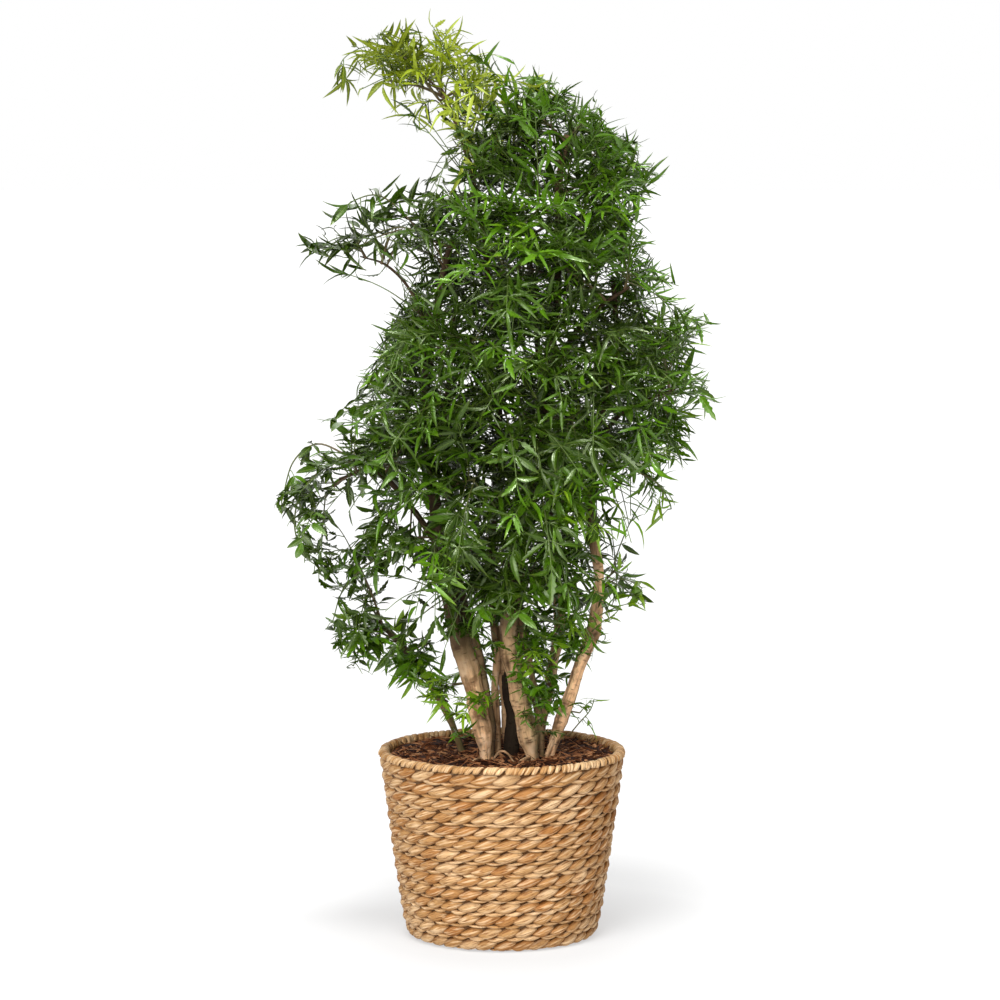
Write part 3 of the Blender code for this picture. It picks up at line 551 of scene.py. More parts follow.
def coir_tree():
    """Scatters chips and fibres over the top of the potting mix."""
    tree, given, out = new_tree("coir_litter", (
        ("Litter", "Collection", None), ("Pieces per Square Metre", "Float", 20000.0),
        ("Smallest", "Float", 0.6), ("Largest", "Float", 1.3), ("Tilt", "Float", 0.4), ("Seed", "Int", SEED),
        ("Coir", "Material", None)))
    seed = given["Seed"]
    spread = node(tree, "GeometryNodeDistributePointsOnFaces", {
        "Mesh": given["Geometry"], "Seed": seed})
    density = scaled(tree, attribute(tree, "litter", "FLOAT"), given["Pieces per Square Metre"])
    tree.links.new(density, spread.inputs["Density"])
    shelf = node(tree, "GeometryNodeCollectionInfo", {
        "Collection": given["Litter"], "Separate Children": True, "Reset Children": True})
    pick = node(tree, "FunctionNodeRandomValue", {4: 0, 5: 63, "Seed": seed}, data_type="INT")
    tilt = given["Tilt"]
    back = scaled(tree, tilt, -1.0)
    low = node(tree, "ShaderNodeCombineXYZ", {"X": back, "Y": back, "Z": 0.0})
    high = node(tree, "ShaderNodeCombineXYZ", {"X": tilt, "Y": tilt, "Z": math.tau})
    turn = node(tree, "FunctionNodeRandomValue", {
        0: low.outputs[0], 1: high.outputs[0], "Seed": seed}, data_type="FLOAT_VECTOR")
    euler = node(tree, "FunctionNodeEulerToRotation", {"Euler": turn.outputs[0]})
    size = node(tree, "FunctionNodeRandomValue", {
        2: given["Smallest"], 3: given["Largest"], "Seed": seed}, data_type="FLOAT")
    shade = node(tree, "FunctionNodeRandomValue", {2: 0.0, 3: 1.0, "Seed": SEED + 5}, data_type="FLOAT")
    tinted = node(tree, "GeometryNodeStoreNamedAttribute", {
        "Geometry": spread.outputs["Points"], "Name": "tint", "Value": shade.outputs[1]},
        data_type="FLOAT", domain="POINT")
    stood = node(tree, "GeometryNodeInstanceOnPoints", {
        "Points": tinted.outputs[0], "Instance": shelf.outputs[0], "Pick Instance": True,
        "Instance Index": pick.outputs[2], "Rotation": euler.outputs[0], "Scale": size.outputs[1]})
    tree.links.new(made_real(tree, stood.outputs[0], given["Coir"]), out)
    return tree


# Materials


def new_material(name):
    material = bpy.data.materials.new(name)
    material.use_nodes = True
    tree = material.node_tree
    tree.nodes.clear()
    return material, tree


def shader_attribute(tree, key):
    return node(tree, "ShaderNodeAttribute", attribute_name=key).outputs["Fac"]


def ramp(tree, factor, stops):
    """A colour ramp with stops of (place, colour)."""
    made = node(tree, "ShaderNodeValToRGB", {"Fac": factor})
    line = made.color_ramp
    while len(line.elements) < len(stops):
        line.elements.new(0.5)
    for element, (place, colour) in zip(line.elements, stops):
        element.position = place
        element.color = (*colour, 1.0)
    return made.outputs[0]


def varied_tint(tree, grain, share):
    """The tint of each point, made lighter and darker by a noise."""
    change = scaled(tree, math_node(tree, "SUBTRACT", grain, 0.5), share)
    return math_node(tree, "ADD", shader_attribute(tree, "tint"), change)


def mix(tree, factor, low, high):
    inputs = {0: factor, 6: low, 7: high}
    inputs = {k: (*v, 1.0) if isinstance(v, tuple) and len(v) == 3 else v for k, v in inputs.items()}
    return node(tree, "ShaderNodeMix", inputs, data_type="RGBA").outputs[2]


def noise_node(tree, vector, scale, detail=3.0, roughness=0.55):
    made = node(tree, "ShaderNodeTexNoise", {"Vector": vector, "Scale": scale, "Detail": detail,
                                             "Roughness": roughness})
    return made.outputs["Fac"]


def range_node(tree, value, low, high, start=0.0, end=1.0):
    made = node(tree, "ShaderNodeMapRange", {0: value, 1: low, 2: high, 3: start, 4: end})
    return made.outputs[0]


def object_point(tree, scale=(1.0, 1.0, 1.0)):
    place = node(tree, "ShaderNodeTexCoord").outputs["Object"]
    return node(tree, "ShaderNodeMapping", {"Vector": place, "Scale": scale}).outputs[0]


def finish_material(tree, colour, rough, bump=None, strength=0.3, distance=0.001, shine=0.5, leafy=None,
                    **constants):
    """The Principled shader with bump. Leafy is the share and colour of light through a thin leaf."""
    inputs = {"Base Color": colour, "Roughness": rough, "Specular IOR Level": shine}
    inputs.update(constants)
    if bump is not None:
        inputs["Normal"] = node(tree, "ShaderNodeBump", {
            "Strength": strength, "Distance": distance, "Height": bump}).outputs[0]
    shader = node(tree, "ShaderNodeBsdfPrincipled", inputs).outputs[0]
    if leafy:
        share, tone = leafy
        through = node(tree, "ShaderNodeBsdfTranslucent", {"Color": tone}).outputs[0]
        shader = node(tree, "ShaderNodeMixShader", {0: share, 1: shader, 2: through}).outputs[0]
    out = node(tree, "ShaderNodeOutputMaterial")
    tree.links.new(shader, out.inputs["Surface"])


def leaf_finish(name, stops, midrib, roughness, through):
    """A toothed leaflet: tinted blade, paler midrib, side veins, soft sheen."""
    material, tree = new_material(name)
    across = math_node(tree, "ABSOLUTE", shader_attribute(tree, "across"))
    along = shader_attribute(tree, "along")
    cloud = noise_node(tree, object_point(tree), 55.0)
    blade = ramp(tree, varied_tint(tree, cloud, 0.45), stops)
    vein_run = math_node(tree, "SUBTRACT", scaled(tree, along, 46.0), scaled(tree, across, 9.0))
    veins = math_node(tree, "MULTIPLY_ADD", math_node(tree, "SINE", vein_run), 0.5, 0.5)
    blade = mix(tree, scaled(tree, veins, 0.22), blade, midrib)
    rib = range_node(tree, across, 0.16, 0.04)
    blade = mix(tree, scaled(tree, rib, 0.55), blade, midrib)
    tip = range_node(tree, along, 0.75, 1.0)
    blade = mix(tree, scaled(tree, tip, 0.25), blade, (0.16, 0.17, 0.03))
    height = math_node(tree, "SUBTRACT", scaled(tree, veins, 0.35), rib)
    dull = range_node(tree, cloud, 0.3, 0.7, roughness - 0.07, roughness + 0.12)
    finish_material(tree, blade, dull, height, 0.35, 0.0004, shine=0.60, leafy=(through, blade),
                    **{"Specular Tint": (0.86, 1.0, 0.66, 1.0)})
    return material


def stalk_finish(name, stops):
    """Twigs and leaf stalks: brown wood that turns green towards the leaves."""
    material, tree = new_material(name)
    grain = noise_node(tree, object_point(tree, (1.0, 1.0, 0.35)), 420.0)
    colour = ramp(tree, varied_tint(tree, grain, 0.3), stops)
    finish_material(tree, colour, 0.5, grain, 0.3, 0.0004)
    return material


def bark_finish(settings):
    """Tan bark: long pale and dark streaks, raised pores, splits, knots, green algae, and painted shade by
    tone.
    """
    material, tree = new_material("aralia_bark")
    place = object_point(tree)
    along = shader_attribute(tree, "bark_along")
    round_ = shader_attribute(tree, "bark_round")
    streak_point = node(tree, "ShaderNodeCombineXYZ", {
        "X": round_, "Y": scaled(tree, along, 0.12), "Z": 0.0}).outputs[0]
    streaks = noise_node(tree, streak_point, 150.0, 5.0, 0.6)
    pore_point = node(tree, "ShaderNodeCombineXYZ", {
        "X": scaled(tree, round_, 0.35), "Y": along, "Z": 0.0}).outputs[0]
    pores = node(tree, "ShaderNodeTexVoronoi", {"Vector": pore_point, "Scale": 230.0}).outputs["Distance"]
    pores = range_node(tree, pores, 0.30, 0.14)
    tone = shader_attribute(tree, "tone")
    patches = noise_node(tree, place, 38.0, 4.0, 0.62)
    fine = noise_node(tree, place, 700.0, 2.0)
    pale, dark = tuple(settings.bark_colour), (0.085, 0.048, 0.026)
    colour = ramp(tree, streaks, (
        (0.30, dark), (0.42, tuple(0.60 * c for c in pale)), (0.53, pale),
        (0.70, tuple(min(1.0, 1.30 * c) for c in pale))))
    colour = mix(tree, range_node(tree, patches, 0.52, 0.64, 0.0, 0.8), colour, (0.24, 0.118, 0.054))
    colour = mix(tree, range_node(tree, patches, 0.45, 0.34, 0.0, 0.8), colour, (0.96, 0.66, 0.42))
    colour = mix(tree, scaled(tree, pores, 0.55), colour, (0.16, 0.085, 0.045))
    # Tone darkens the bark: each trunk's own darkness together with painted shade, near black where it is
    # greatest.
    colour = mix(tree, math_node(tree, "MINIMUM", tone, 0.85), colour, (0.070, 0.046, 0.020))
    colour = mix(tree, range_node(tree, tone, 0.9, 1.5, 0.0, 0.95), colour, (0.014, 0.008, 0.005))
    moss = math_node(tree, "MULTIPLY", shader_attribute(tree, "moss"),
                     range_node(tree, noise_node(tree, place, 60.0), 0.38, 0.62))
    colour = mix(tree, scaled(tree, moss, 0.75), colour, (0.115, 0.135, 0.045))
    # Knot scars are darker wood, and darkest in their hollows as painted shade.
    colour = mix(tree, shader_attribute(tree, "knot"), colour, (0.050, 0.026, 0.014))
    colour = mix(tree, shader_attribute(tree, "damp"), colour, (0.055, 0.030, 0.018))
    height = math_node(tree, "ADD", streaks, scaled(tree, fine, 0.35))
    height = math_node(tree, "ADD", height, scaled(tree, pores, 0.5))
    rough = range_node(tree, streaks, 0.3, 0.7, 0.92, 0.72)
    finish_material(tree, colour, rough, height, 0.9, 0.0022, shine=0.15)
    return material


def fibre_finish(settings, name="plaited_fibre", dark=0.0):
    """Dry plant fibre: each lobe has its own straw tone, fine lengthwise creases with painted shade in them,
    painted highlight streaks and painted shade at its edges.
    """
    material, tree = new_material(name)
    along = shader_attribute(tree, "fibre_along")
    across = shader_attribute(tree, "fibre_across")
    edge = shader_attribute(tree, "fibre_edge_shade")
    tint = shader_attribute(tree, "tint")
    place = object_point(tree)
    offset = scaled(tree, tint, 3.7)
    crease_point = node(tree, "ShaderNodeCombineXYZ", {
        "X": scaled(tree, along, 0.10), "Y": across, "Z": offset}).outputs[0]
    creases = noise_node(tree, crease_point, 640.0, 4.0, 0.65)
    broad = noise_node(tree, crease_point, 340.0, 2.0, 0.5)
    patches = noise_node(tree, place, 38.0, 3.0)
    straw = tuple(settings.fibre_colour)
    colour = ramp(tree, math_node(tree, "ADD", tint, math_node(tree, "MULTIPLY_ADD", patches, 0.5, -0.25)), (
        (0.00, (0.26, 0.092, 0.020)), (0.28, (0.40, 0.175, 0.050)), (0.62, straw),
        (1.00, (0.76, 0.520, 0.290))))
    # Painted shade in the fine lengthwise creases, which also mark the fibre's grain.
    colour = mix(tree, range_node(tree, creases, 0.50, 0.38, 0.0, 0.85), colour, (0.18, 0.064, 0.016))
    # Painted highlight: pale streaks along the lobes, where light would catch them.
    colour = mix(tree, range_node(tree, broad, 0.51, 0.64, 0.0, 0.65), colour, (0.80, 0.57, 0.340))
    # Painted shade: each lobe and wrap darkens towards its edges and tips.
    edges = scaled(tree, math_node(tree, "POWER", edge, 3.0), 0.90)
    colour = mix(tree, edges, colour, (0.15, 0.048, 0.006))
    # Painted shade: a dark share darkens the whole surface, for the core seen between the lobes.
    if dark:
        colour = mix(tree, dark, colour, (0.035, 0.016, 0.007))
    height = math_node(tree, "ADD", scaled(tree, broad, 1.1), scaled(tree, creases, 0.7))
    rough = range_node(tree, creases, 0.3, 0.7, 0.74, 0.52)
    finish_material(tree, colour, rough, height, 0.85, 0.0014, shine=0.16)
    return material


def coir_finish(name, stops):
    """Damp coir: chips and fibres from near black to reddish tan."""
    material, tree = new_material(name)
    place = object_point(tree)
    grain = noise_node(tree, place, 240.0, 4.0, 0.7)
    colour = ramp(tree, varied_tint(tree, grain, 0.5), stops)
    finish_material(tree, colour, range_node(tree, grain, 0.3, 0.7, 0.95, 0.7), grain, 0.6, 0.001,
                    shine=0.12)
    return material


def liner_finish():
    """Thin moulded black plastic with faint rings and scuffs."""
    material, tree = new_material("liner_moulding")
    place = object_point(tree)
    scuffs = noise_node(tree, object_point(tree, (1.0, 1.0, 0.2)), 160.0, 4.0, 0.7)
    rings = node(tree, "ShaderNodeTexWave", {"Vector": place, "Scale": 60.0, "Distortion": 0.3},
                 bands_direction="Z").outputs["Fac"]
    colour = ramp(tree, scuffs, ((0.35, (0.016, 0.016, 0.017)), (0.75, (0.045, 0.043, 0.040))))
    rough = range_node(tree, scuffs, 0.3, 0.7, 0.38, 0.60)
    finish_material(tree, colour, rough, rings, 0.15, 0.0006)
    return material


# Floor glow, lowered round the basket as a painted shadow: how far from the basket's axis it starts and stops
# growing, and how strong it is at both
FLOOR_GLOW_PAINTED_SHADOW = (0.17, 0.34, 0.54, 0.67)


def floor_finish(settings):
    """The pale floor, which glows less round the basket: a painted shadow that deepens its soft shadow there.
    """
    material, tree = new_material("pale_floor")
    place = object_point(tree)
    grain = noise_node(tree, place, 3.0, 2.0)
    tone = tuple(settings.floor_colour)
    colour = ramp(tree, grain, ((0.3, tuple(0.99 * c for c in tone)), (0.7, tone)))
    away = node(tree, "ShaderNodeVectorMath", {0: place}, operation="LENGTH").outputs["Value"]
    # Painted shadow: less glow near the basket's axis.
    glow_painted_shadow = range_node(tree, away, *FLOOR_GLOW_PAINTED_SHADOW)
    finish_material(tree, colour, 0.9, shine=0.1, **{
        "Emission Color": (1.0, 1.0, 1.0, 1.0), "Emission Strength": glow_painted_shadow})
    return material


# Basket


def round_axes(angle):
    """The way outward at this angle, and the way along the wall."""
    return Vector((math.cos(angle), math.sin(angle), 0.0)), Vector((-math.sin(angle), math.cos(angle), 0.0))


def wall_seat(angle, height, inset):
    """A place on the wall, the way along it, up it and out of it."""
    radial, along = round_axes(angle)
    low = max(0.0015, height - 0.001)
    slope = (basket_radius(height + 0.001) - basket_radius(low)) / (height + 0.001 - low)
    normal = (radial - UP * min(slope, 1.6)).normalized()
    place = radial * (basket_radius(height) - inset) + UP * height
    return place, along, normal.cross(along), normal


class Seats:
    """Points for repeated forms, with the turn, size, form and tint of each."""

    def __init__(self):
        self.points = []

    def add(self, place, x_axis, y_axis, z_axis, size, form, tint, tilt=0.0, tuck=0.0):
        """Tilt turns the form in the wall, and tuck sinks its right end into it."""
        x_turned = x_axis * math.cos(tilt) + y_axis * math.sin(tilt)
        y_turned = y_axis * math.cos(tilt) - x_axis * math.sin(tilt)
        x_turned, z_axis = (x_turned * math.cos(tuck) - z_axis * math.sin(tuck),
                            z_axis * math.cos(tuck) + x_turned * math.sin(tuck))
        turn = Matrix((x_turned, y_turned, z_axis)).transposed().to_euler()
        self.points.append((place, tuple(turn), size, form, tint))

    def carrier(self, name):
        places, turns, sizes, forms, tints = zip(*self.points)
        return mesh_object(name, places, (), {
            "turn": ("FLOAT_VECTOR", turns), "size": ("FLOAT_VECTOR", sizes),
            "form": ("INT", forms), "tint": ("FLOAT", tints)})


def strand_object(name, verts, faces, along, across, edge):
    """A mesh whose points say how far along and across the strand they lie, and how near its edge, where
    painted shade darkens it.
    """
    return mesh_object(name, verts, faces, {
        "fibre_along": ("FLOAT", along), "fibre_across": ("FLOAT", across), "fibre_edge_shade": ("FLOAT", edge)})


def lobe_form(name, half_length, half_width, rise, creases, smile=0.0, steps=(10, 6)):
    """A plump strand end: pointed at both tips, creased lengthwise, closed underneath."""
    verts, along, across, edge, faces = [], [], [], [], []
    count_u, count_v = steps

    def outline(u):
        return (1.0 - abs(u) ** 2.1) ** 0.80

    def surface(u, v):
        width = outline(u)
        y = half_width * width * v + smile * u * u + 0.10 * half_width * math.sin(math.pi * u)
        x = half_length * u
        crown = math.sqrt(max(0.0, 1.0 - v * v)) * (1.0 - abs(u) ** 3.0) ** 0.55
        z = rise * crown
        for place, depth in creases:
            z -= depth * math.exp(-((v - place - 0.12 * u) / 0.13) ** 2) * width * crown
        z -= x * x / (2.0 * basket_radius(0.5 * BASKET_HEIGHT))
        return Vector((x, y, z))

    def put(u, v):
        verts.append(surface(u, v))
        along.append(half_length * u)
        across.append(half_width * v)
        edge.append(max(abs(v), abs(u) ** 3))
        return len(verts) - 1

    rows = []
    for i in range(1, count_u):
        u = -math.cos(math.pi * i / count_u)
        rows.append([put(u, -math.cos(math.pi * j / count_v)) for j in range(count_v + 1)])
    start, end = put(-0.999, 0.0), put(0.999, 0.0)
    for low, high in zip(rows, rows[1:]):
        for j in range(count_v):
            faces.append((low[j], high[j], high[j + 1], low[j + 1]))
    for j in range(count_v):
        faces.append((start, rows[0][j], rows[0][j + 1]))
        faces.append((end, rows[-1][j + 1], rows[-1][j]))
    under = [start] + [row[-1] for row in rows] + [end] + [row[0] for row in rows[::-1]]
    faces.append(tuple(under))
    return strand_object(name, verts, faces, along, across, edge)


def wrap_form(name, half_width, half_thickness, slant, path):
    """A strand wrapped over the rim, from the outside to the inside."""
    sides = 6
    verts, along, across, edge = [], [], [], []
    line = [Vector((0.0, y, z)) for z, y in path]
    travelled = 0.0
    for k, point in enumerate(line):
        ahead = (line[min(k + 1, len(line) - 1)] - line[max(k - 1, 0)]).normalized()
        out = Vector((1.0, 0.0, 0.0)).cross(ahead)
        share = k / (len(line) - 1)
        taper = 1.0 - 0.35 * abs(2.0 * share - 1.0) ** 2
        if k:
            travelled += (point - line[k - 1]).length
        for i in range(sides):
            angle = math.tau * i / sides
            wide, thick = math.cos(angle) * half_width * taper, math.sin(angle) * half_thickness
            verts.append(point + Vector((wide + slant * (share - 0.5), 0.0, 0.0)) + out * thick)
            along.append(travelled)
            across.append(wide)
            edge.append(0.32 * abs(math.cos(angle)))
    return strand_object(name, verts, tube_faces(0, sides, len(line)), along, across, edge)


# Where the wraps sit (radius, height), and the path of each over the rim, as height and way outward
RIM_SEAT = (0.1565, 0.2440)
RIM_PATH = (
    (0.0058, -0.0028), (0.0058, 0.0002), (0.0046, 0.0030), (0.0022, 0.0044), (-0.0006, 0.0047),
    (-0.0036, 0.0036), (-0.0054, 0.0006), (-0.0058, -0.0036),
)
# How full the narrow strands stand out under each row of lobes
UNDER_SHARES = (0.35, 0.9, 0.45, 0.8, 0.3, 0.75, 1.0, 0.35, 0.6, 0.9, 0.4, 0.85, 0.5, 0.7)
UNDER_DROP = 0.0086
LINING_HEIGHT = 0.2360
FOOT_STRANDS = 46
UNDERSIDE_HEIGHT = 0.0066


def basket_seats(settings, rng):
    """Where each lobe, wrap and foot strand sits."""
    seats = Seats()
    rows, lobes = settings.rows, settings.lobes
    pitch = (BASKET_HEIGHT - RIM_HEIGHT) / rows
    for row in range(rows):
        bold = UNDER_SHARES[row % len(UNDER_SHARES)]
        drift = rng.uniform(-0.12, 0.12)
        for k in range(lobes):
            angle = math.tau * (k + drift + rng.uniform(-0.05, 0.05)) / lobes
            wave = noise.noise(Vector((2.0 * math.cos(angle), 2.0 * math.sin(angle), 7.3 * row)))
            top = 1.0 if row == rows - 1 else 0.0
            height = (row + 0.56) * pitch + 0.0011 * wave + 0.0014 * top
            spread = basket_radius(height) / BASKET_TOP_RADIUS
            tone = 0.54 + 0.27 * rng.uniform(-1.0, 1.0) + 0.24 * wave
            place, along, up, out = wall_seat(angle, max(0.004, height), settings.lobe_rise)
            size = (spread * rng.uniform(0.97, 1.07),
                    rng.uniform(0.92, 1.06) * (1.06 - 0.10 * bold + 0.12 * top), rng.uniform(0.90, 1.08))
            seats.add(place, along, up, out, size, rng.randrange(4), tone,
                      0.20 + rng.uniform(-0.05, 0.05), 0.12)
            height -= UNDER_DROP
            if height < 0.003:
                continue
            angle += math.tau * rng.uniform(0.30, 0.46) / lobes
            place, along, up, out = wall_seat(angle, height, settings.lobe_rise * 0.88)
            size = (spread * rng.uniform(0.85, 1.08), (0.45 + 0.75 * bold) * rng.uniform(0.8, 1.15),
                    rng.uniform(0.75, 1.0))
            seats.add(place, along, up, out, size, 4 + rng.randrange(2), tone * 0.6 + 0.38,
                      rng.uniform(-0.08, 0.16))
    wraps = settings.wraps
    for k in range(wraps):
        angle = math.tau * (k + rng.uniform(-0.22, 0.22)) / wraps
        radial, along = round_axes(angle)
        place = radial * (RIM_SEAT[0] + rng.uniform(-0.0005, 0.0005))
        place += UP * (RIM_SEAT[1] + rng.uniform(-0.0006, 0.0004))
        size = (rng.uniform(0.85, 1.2), rng.uniform(0.92, 1.03), rng.uniform(0.92, 1.03))
        seats.add(place, along, UP, radial, size, 6 + rng.randrange(3), rng.uniform(0.50, 0.85))
    for k in range(lobes):
        angle = math.tau * (k + 0.5) / lobes
        radial, along = round_axes(angle)
        place = radial * (inner_radius(LINING_HEIGHT) + 0.0035) + UP * LINING_HEIGHT
        seats.add(place, -along, UP, -radial, (0.98, 0.95, 0.75), rng.randrange(4),
                  rng.uniform(0.3, 0.8), 0.15)
    foot_seats(seats, rng)
    return seats


def foot_seats(seats, rng):
    """A thin plait round the foot, and rings of lobes that make the flat underside."""
    for k in range(FOOT_STRANDS):
        angle = math.tau * (k + rng.uniform(-0.2, 0.2)) / FOOT_STRANDS
        place, along, up, out = wall_seat(angle, 0.0052, 0.0052)
        seats.add(place, along, up, out, (0.62, 0.50, 0.75), 4 + rng.randrange(2), rng.uniform(0.3, 0.8),
                  rng.uniform(0.0, 0.5))
    radius = 0.104
    while radius > 0.012:
        count = max(4, round(math.tau * radius / 0.031))
        for k in range(count):
            angle = math.tau * (k + rng.uniform(-0.06, 0.06)) / count
            radial, along = round_axes(angle)
            seats.add(radial * radius + UP * UNDERSIDE_HEIGHT, along, -radial, -UP, (0.98, 1.0, 0.85),
                      rng.randrange(4), rng.uniform(0.25, 0.7), 0.31)
        radius -= 0.0155
    seats.add(UP * UNDERSIDE_HEIGHT, Vector((1.0, 0.0, 0.0)), Vector((0.0, -1.0, 0.0)), -UP,
              (0.6, 1.2, 0.85), 0, 0.5)


# Heights of the rings of the core behind the plait, painted dark as shade
CORE_HEIGHTS = (0.0065, 0.010, 0.016, 0.03, 0.06, 0.10, 0.14, 0.18, 0.21)
# The creases of each form of lobe: the place across it (-1 to 1) and the depth against its rise
LOBE_CREASES = (
    ((-0.30, 0.16), (0.28, 0.12)), ((0.05, 0.18),), ((-0.42, 0.12), (0.10, 0.20), (0.50, 0.10)),
    ((-0.15, 0.12), (0.40, 0.18)),
)
LOBE_SIZE = (0.0212, 0.0079)
# The narrow strands: half their length and width, and how much each form curves
STRAND_SIZE = (0.0185, 0.0036)
STRAND_CURVES = (0.0022, 0.0014)
# The wraps: half the width of each form, and how far it slants
WRAPS = ((0.0056, 0.0100), (0.0048, 0.0135), (0.0062, 0.0080))
WRAP_HALF_THICKNESS = 0.0018


def make_basket_piece(settings):
    """The plaited wall, rim and underside over a core painted dark as shade."""
    rng = random.Random(SEED + 1)
    rise = settings.lobe_rise
    rings = [(basket_radius(0.001) - 0.004, 0.0050)]
    rings += [(basket_radius(height) - 0.9 * rise, height) for height in CORE_HEIGHTS]
    rings += [(RIM_RADIUS - 0.0035, 0.235), (RIM_RADIUS - 0.0030, 0.2465), (RIM_RADIUS - 0.0055, 0.2480),
              (inner_radius(0.24) + 0.0022, 0.2460), (inner_radius(0.23) + 0.0006, 0.232)]
    rings += [(inner_radius(BASKET_WALL) + 0.0006, BASKET_WALL)]
    verts, faces = lathe(rings, 96)
    straight = {
        "fibre_along": ("FLOAT", [math.atan2(v.y, v.x) * 0.15 for v in verts]),
        "fibre_across": ("FLOAT", [v.z for v in verts]),
        "fibre_edge_shade": ("FLOAT", [0.6] * len(verts)), "tint": ("FLOAT", [0.2] * len(verts))}
    core = link(mesh_object("basket_core", verts, faces, straight))
    core.data.materials.append(fibre_finish(settings, "fibre_painted_shade", 0.72))
    forms = []
    for creases in LOBE_CREASES:
        deep = [(place, depth * rise) for place, depth in creases]
        forms.append(lobe_form("lobe_%d" % len(forms), *LOBE_SIZE, rise, deep))
    for curve in STRAND_CURVES:
        forms.append(lobe_form("lobe_%d" % len(forms), *STRAND_SIZE, rise * 0.85, [(0.1, 0.1 * rise)],
                               curve, (8, 4)))
    for wide, slant in WRAPS:
        forms.append(wrap_form("lobe_%d" % len(forms), wide, WRAP_HALF_THICKNESS, slant, RIM_PATH))
    shelf = forms_collection("plait_forms", forms)
    carrier = basket_seats(settings, rng).carrier("plait_seats")
    plait = run_tree(carrier, plait_tree(), {
        "Lobes": shelf, "Plumpness": 1.0, "Fibre": fibre_finish(settings)}, "plait")
    clear_forms(shelf)
    return join_pieces("plaited_basket", [plait, core])


# Potting mix


def strand_form(name, length, radius, bend, sides, rng):
    """A short bent piece of coir."""
    steps = 5
    verts, faces = [], []
    sway = rng.uniform(-0.6, 0.6)
    for k in range(steps + 1):
        t = k / steps - 0.5
        centre = Vector((length * t, bend * (0.25 - t * t) * 4.0, 0.12 * length * sway * math.sin(3.0 * t)))
        thick = radius * (1.0 - 0.6 * (2.0 * abs(t)) ** 3) * rng.uniform(0.8, 1.15)
        for i in range(sides):
            angle = math.tau * i / sides
            verts.append(centre + Vector((0.0, math.cos(angle) * thick, math.sin(angle) * thick * 0.7)))
    for k in range(steps):
        for i in range(sides):
            j = (i + 1) % sides
            low, high = k * sides, (k + 1) * sides
            faces.append((low + i, high + i, high + j, low + j))
    faces += [tuple(range(sides)), tuple(range(steps * sides, (steps + 1) * sides))[::-1]]
    return mesh_object(name, verts, faces, smooth=False)


def chip_form(name, length, width, thick, rng):
    """A flat broken chip of husk."""
    outline = []
    for i in range(7):
        angle = math.tau * i / 7
        reach = rng.uniform(0.72, 1.1)
        outline.append((length * 0.5 * math.cos(angle) * reach, width * 0.5 * math.sin(angle) * reach))
    verts = [Vector((x, y, -thick * 0.5)) for x, y in outline]
    verts += [Vector((x * 0.8, y * 0.8, thick * rng.uniform(0.3, 0.7))) for x, y in outline]
    faces = [tuple(range(6, -1, -1)), tuple(range(7, 14))]
    faces += [(i, (i + 1) % 7, 7 + (i + 1) % 7, 7 + i) for i in range(7)]
    return mesh_object(name, verts, faces, smooth=False)


def make_soil_piece(settings):
    """A heaped bed with loose chips and fibres on it, kept inside the basket."""
    rng = random.Random(SEED + 2)
    edge = SOIL_LEVEL - 0.006
    rings = [(inner_radius(SOIL_LOW) - SOIL_INSET, SOIL_LOW), (inner_radius(edge) - SOIL_INSET, edge)]
    widest = inner_radius(edge) - SOIL_INSET
    rings += [(widest * (1.0 - (k - 0.7) / 18.0), SOIL_LEVEL + SOIL_HEAP) for k in range(1, 19)]
    verts, faces = lathe(rings, 72)
    for v in verts:
        if v.z > edge + 0.001:
            bumps = noise.noise(v * 55.0) * 0.0030 + noise.noise(v * 170.0) * 0.0014
            v.z += bumps - 0.0015
    top = [1.0 if v.z > edge - 0.001 else 0.0 for v in verts]
    # The bed, seen between the chips, is tinted near black as painted shade.
    shade = [0.15] * len(verts)
    coir = coir_finish("damp_coir", (
        (0.0, (0.012, 0.004, 0.002)), (0.28, (0.045, 0.014, 0.006)), (0.55, (0.132, 0.043, 0.015)),
        (0.80, (0.33, 0.135, 0.056)), (1.0, (0.52, 0.26, 0.120))))
    attributes = {"tint": ("FLOAT", shade), "litter": ("FLOAT", top)}
    bed = link(mesh_object("potting_bed", verts, faces, attributes))
    bed.data.materials.append(coir)
    forms = [strand_form("litter_%02d" % k, rng.uniform(0.016, 0.036), rng.uniform(0.0010, 0.0023),
                         rng.uniform(-0.006, 0.006), 4, rng) for k in range(34)]
    forms += [chip_form("litter_%02d" % (34 + k), rng.uniform(0.009, 0.019), rng.uniform(0.005, 0.010),
                        rng.uniform(0.0014, 0.0026), rng) for k in range(18)]
    forms += [strand_form("litter_%02d" % (52 + k), rng.uniform(0.030, 0.060), rng.uniform(0.0004, 0.0006),
                          rng.uniform(-0.014, 0.014), 3, rng) for k in range(12)]
    shelf = forms_collection("litter_forms", forms)
    carrier = mesh_object("litter_seats", verts, faces, attributes)
    litter = run_tree(carrier, coir_tree(), {
        "Litter": shelf, "Pieces per Square Metre": settings.litter, "Smallest": 0.65, "Largest": 1.2,
        "Tilt": 0.45, "Seed": SEED, "Coir": coir}, "litter")
    clear_forms(shelf)
    for v in litter.data.vertices:
        reach = v.co.to_2d().length
        limit = inner_radius(min(v.co.z, 0.245)) - 0.001
        if reach > limit:
            v.co.x *= limit / reach
            v.co.y *= limit / reach
    return join_pieces("potting_mix", [bed, litter])


# Trunks


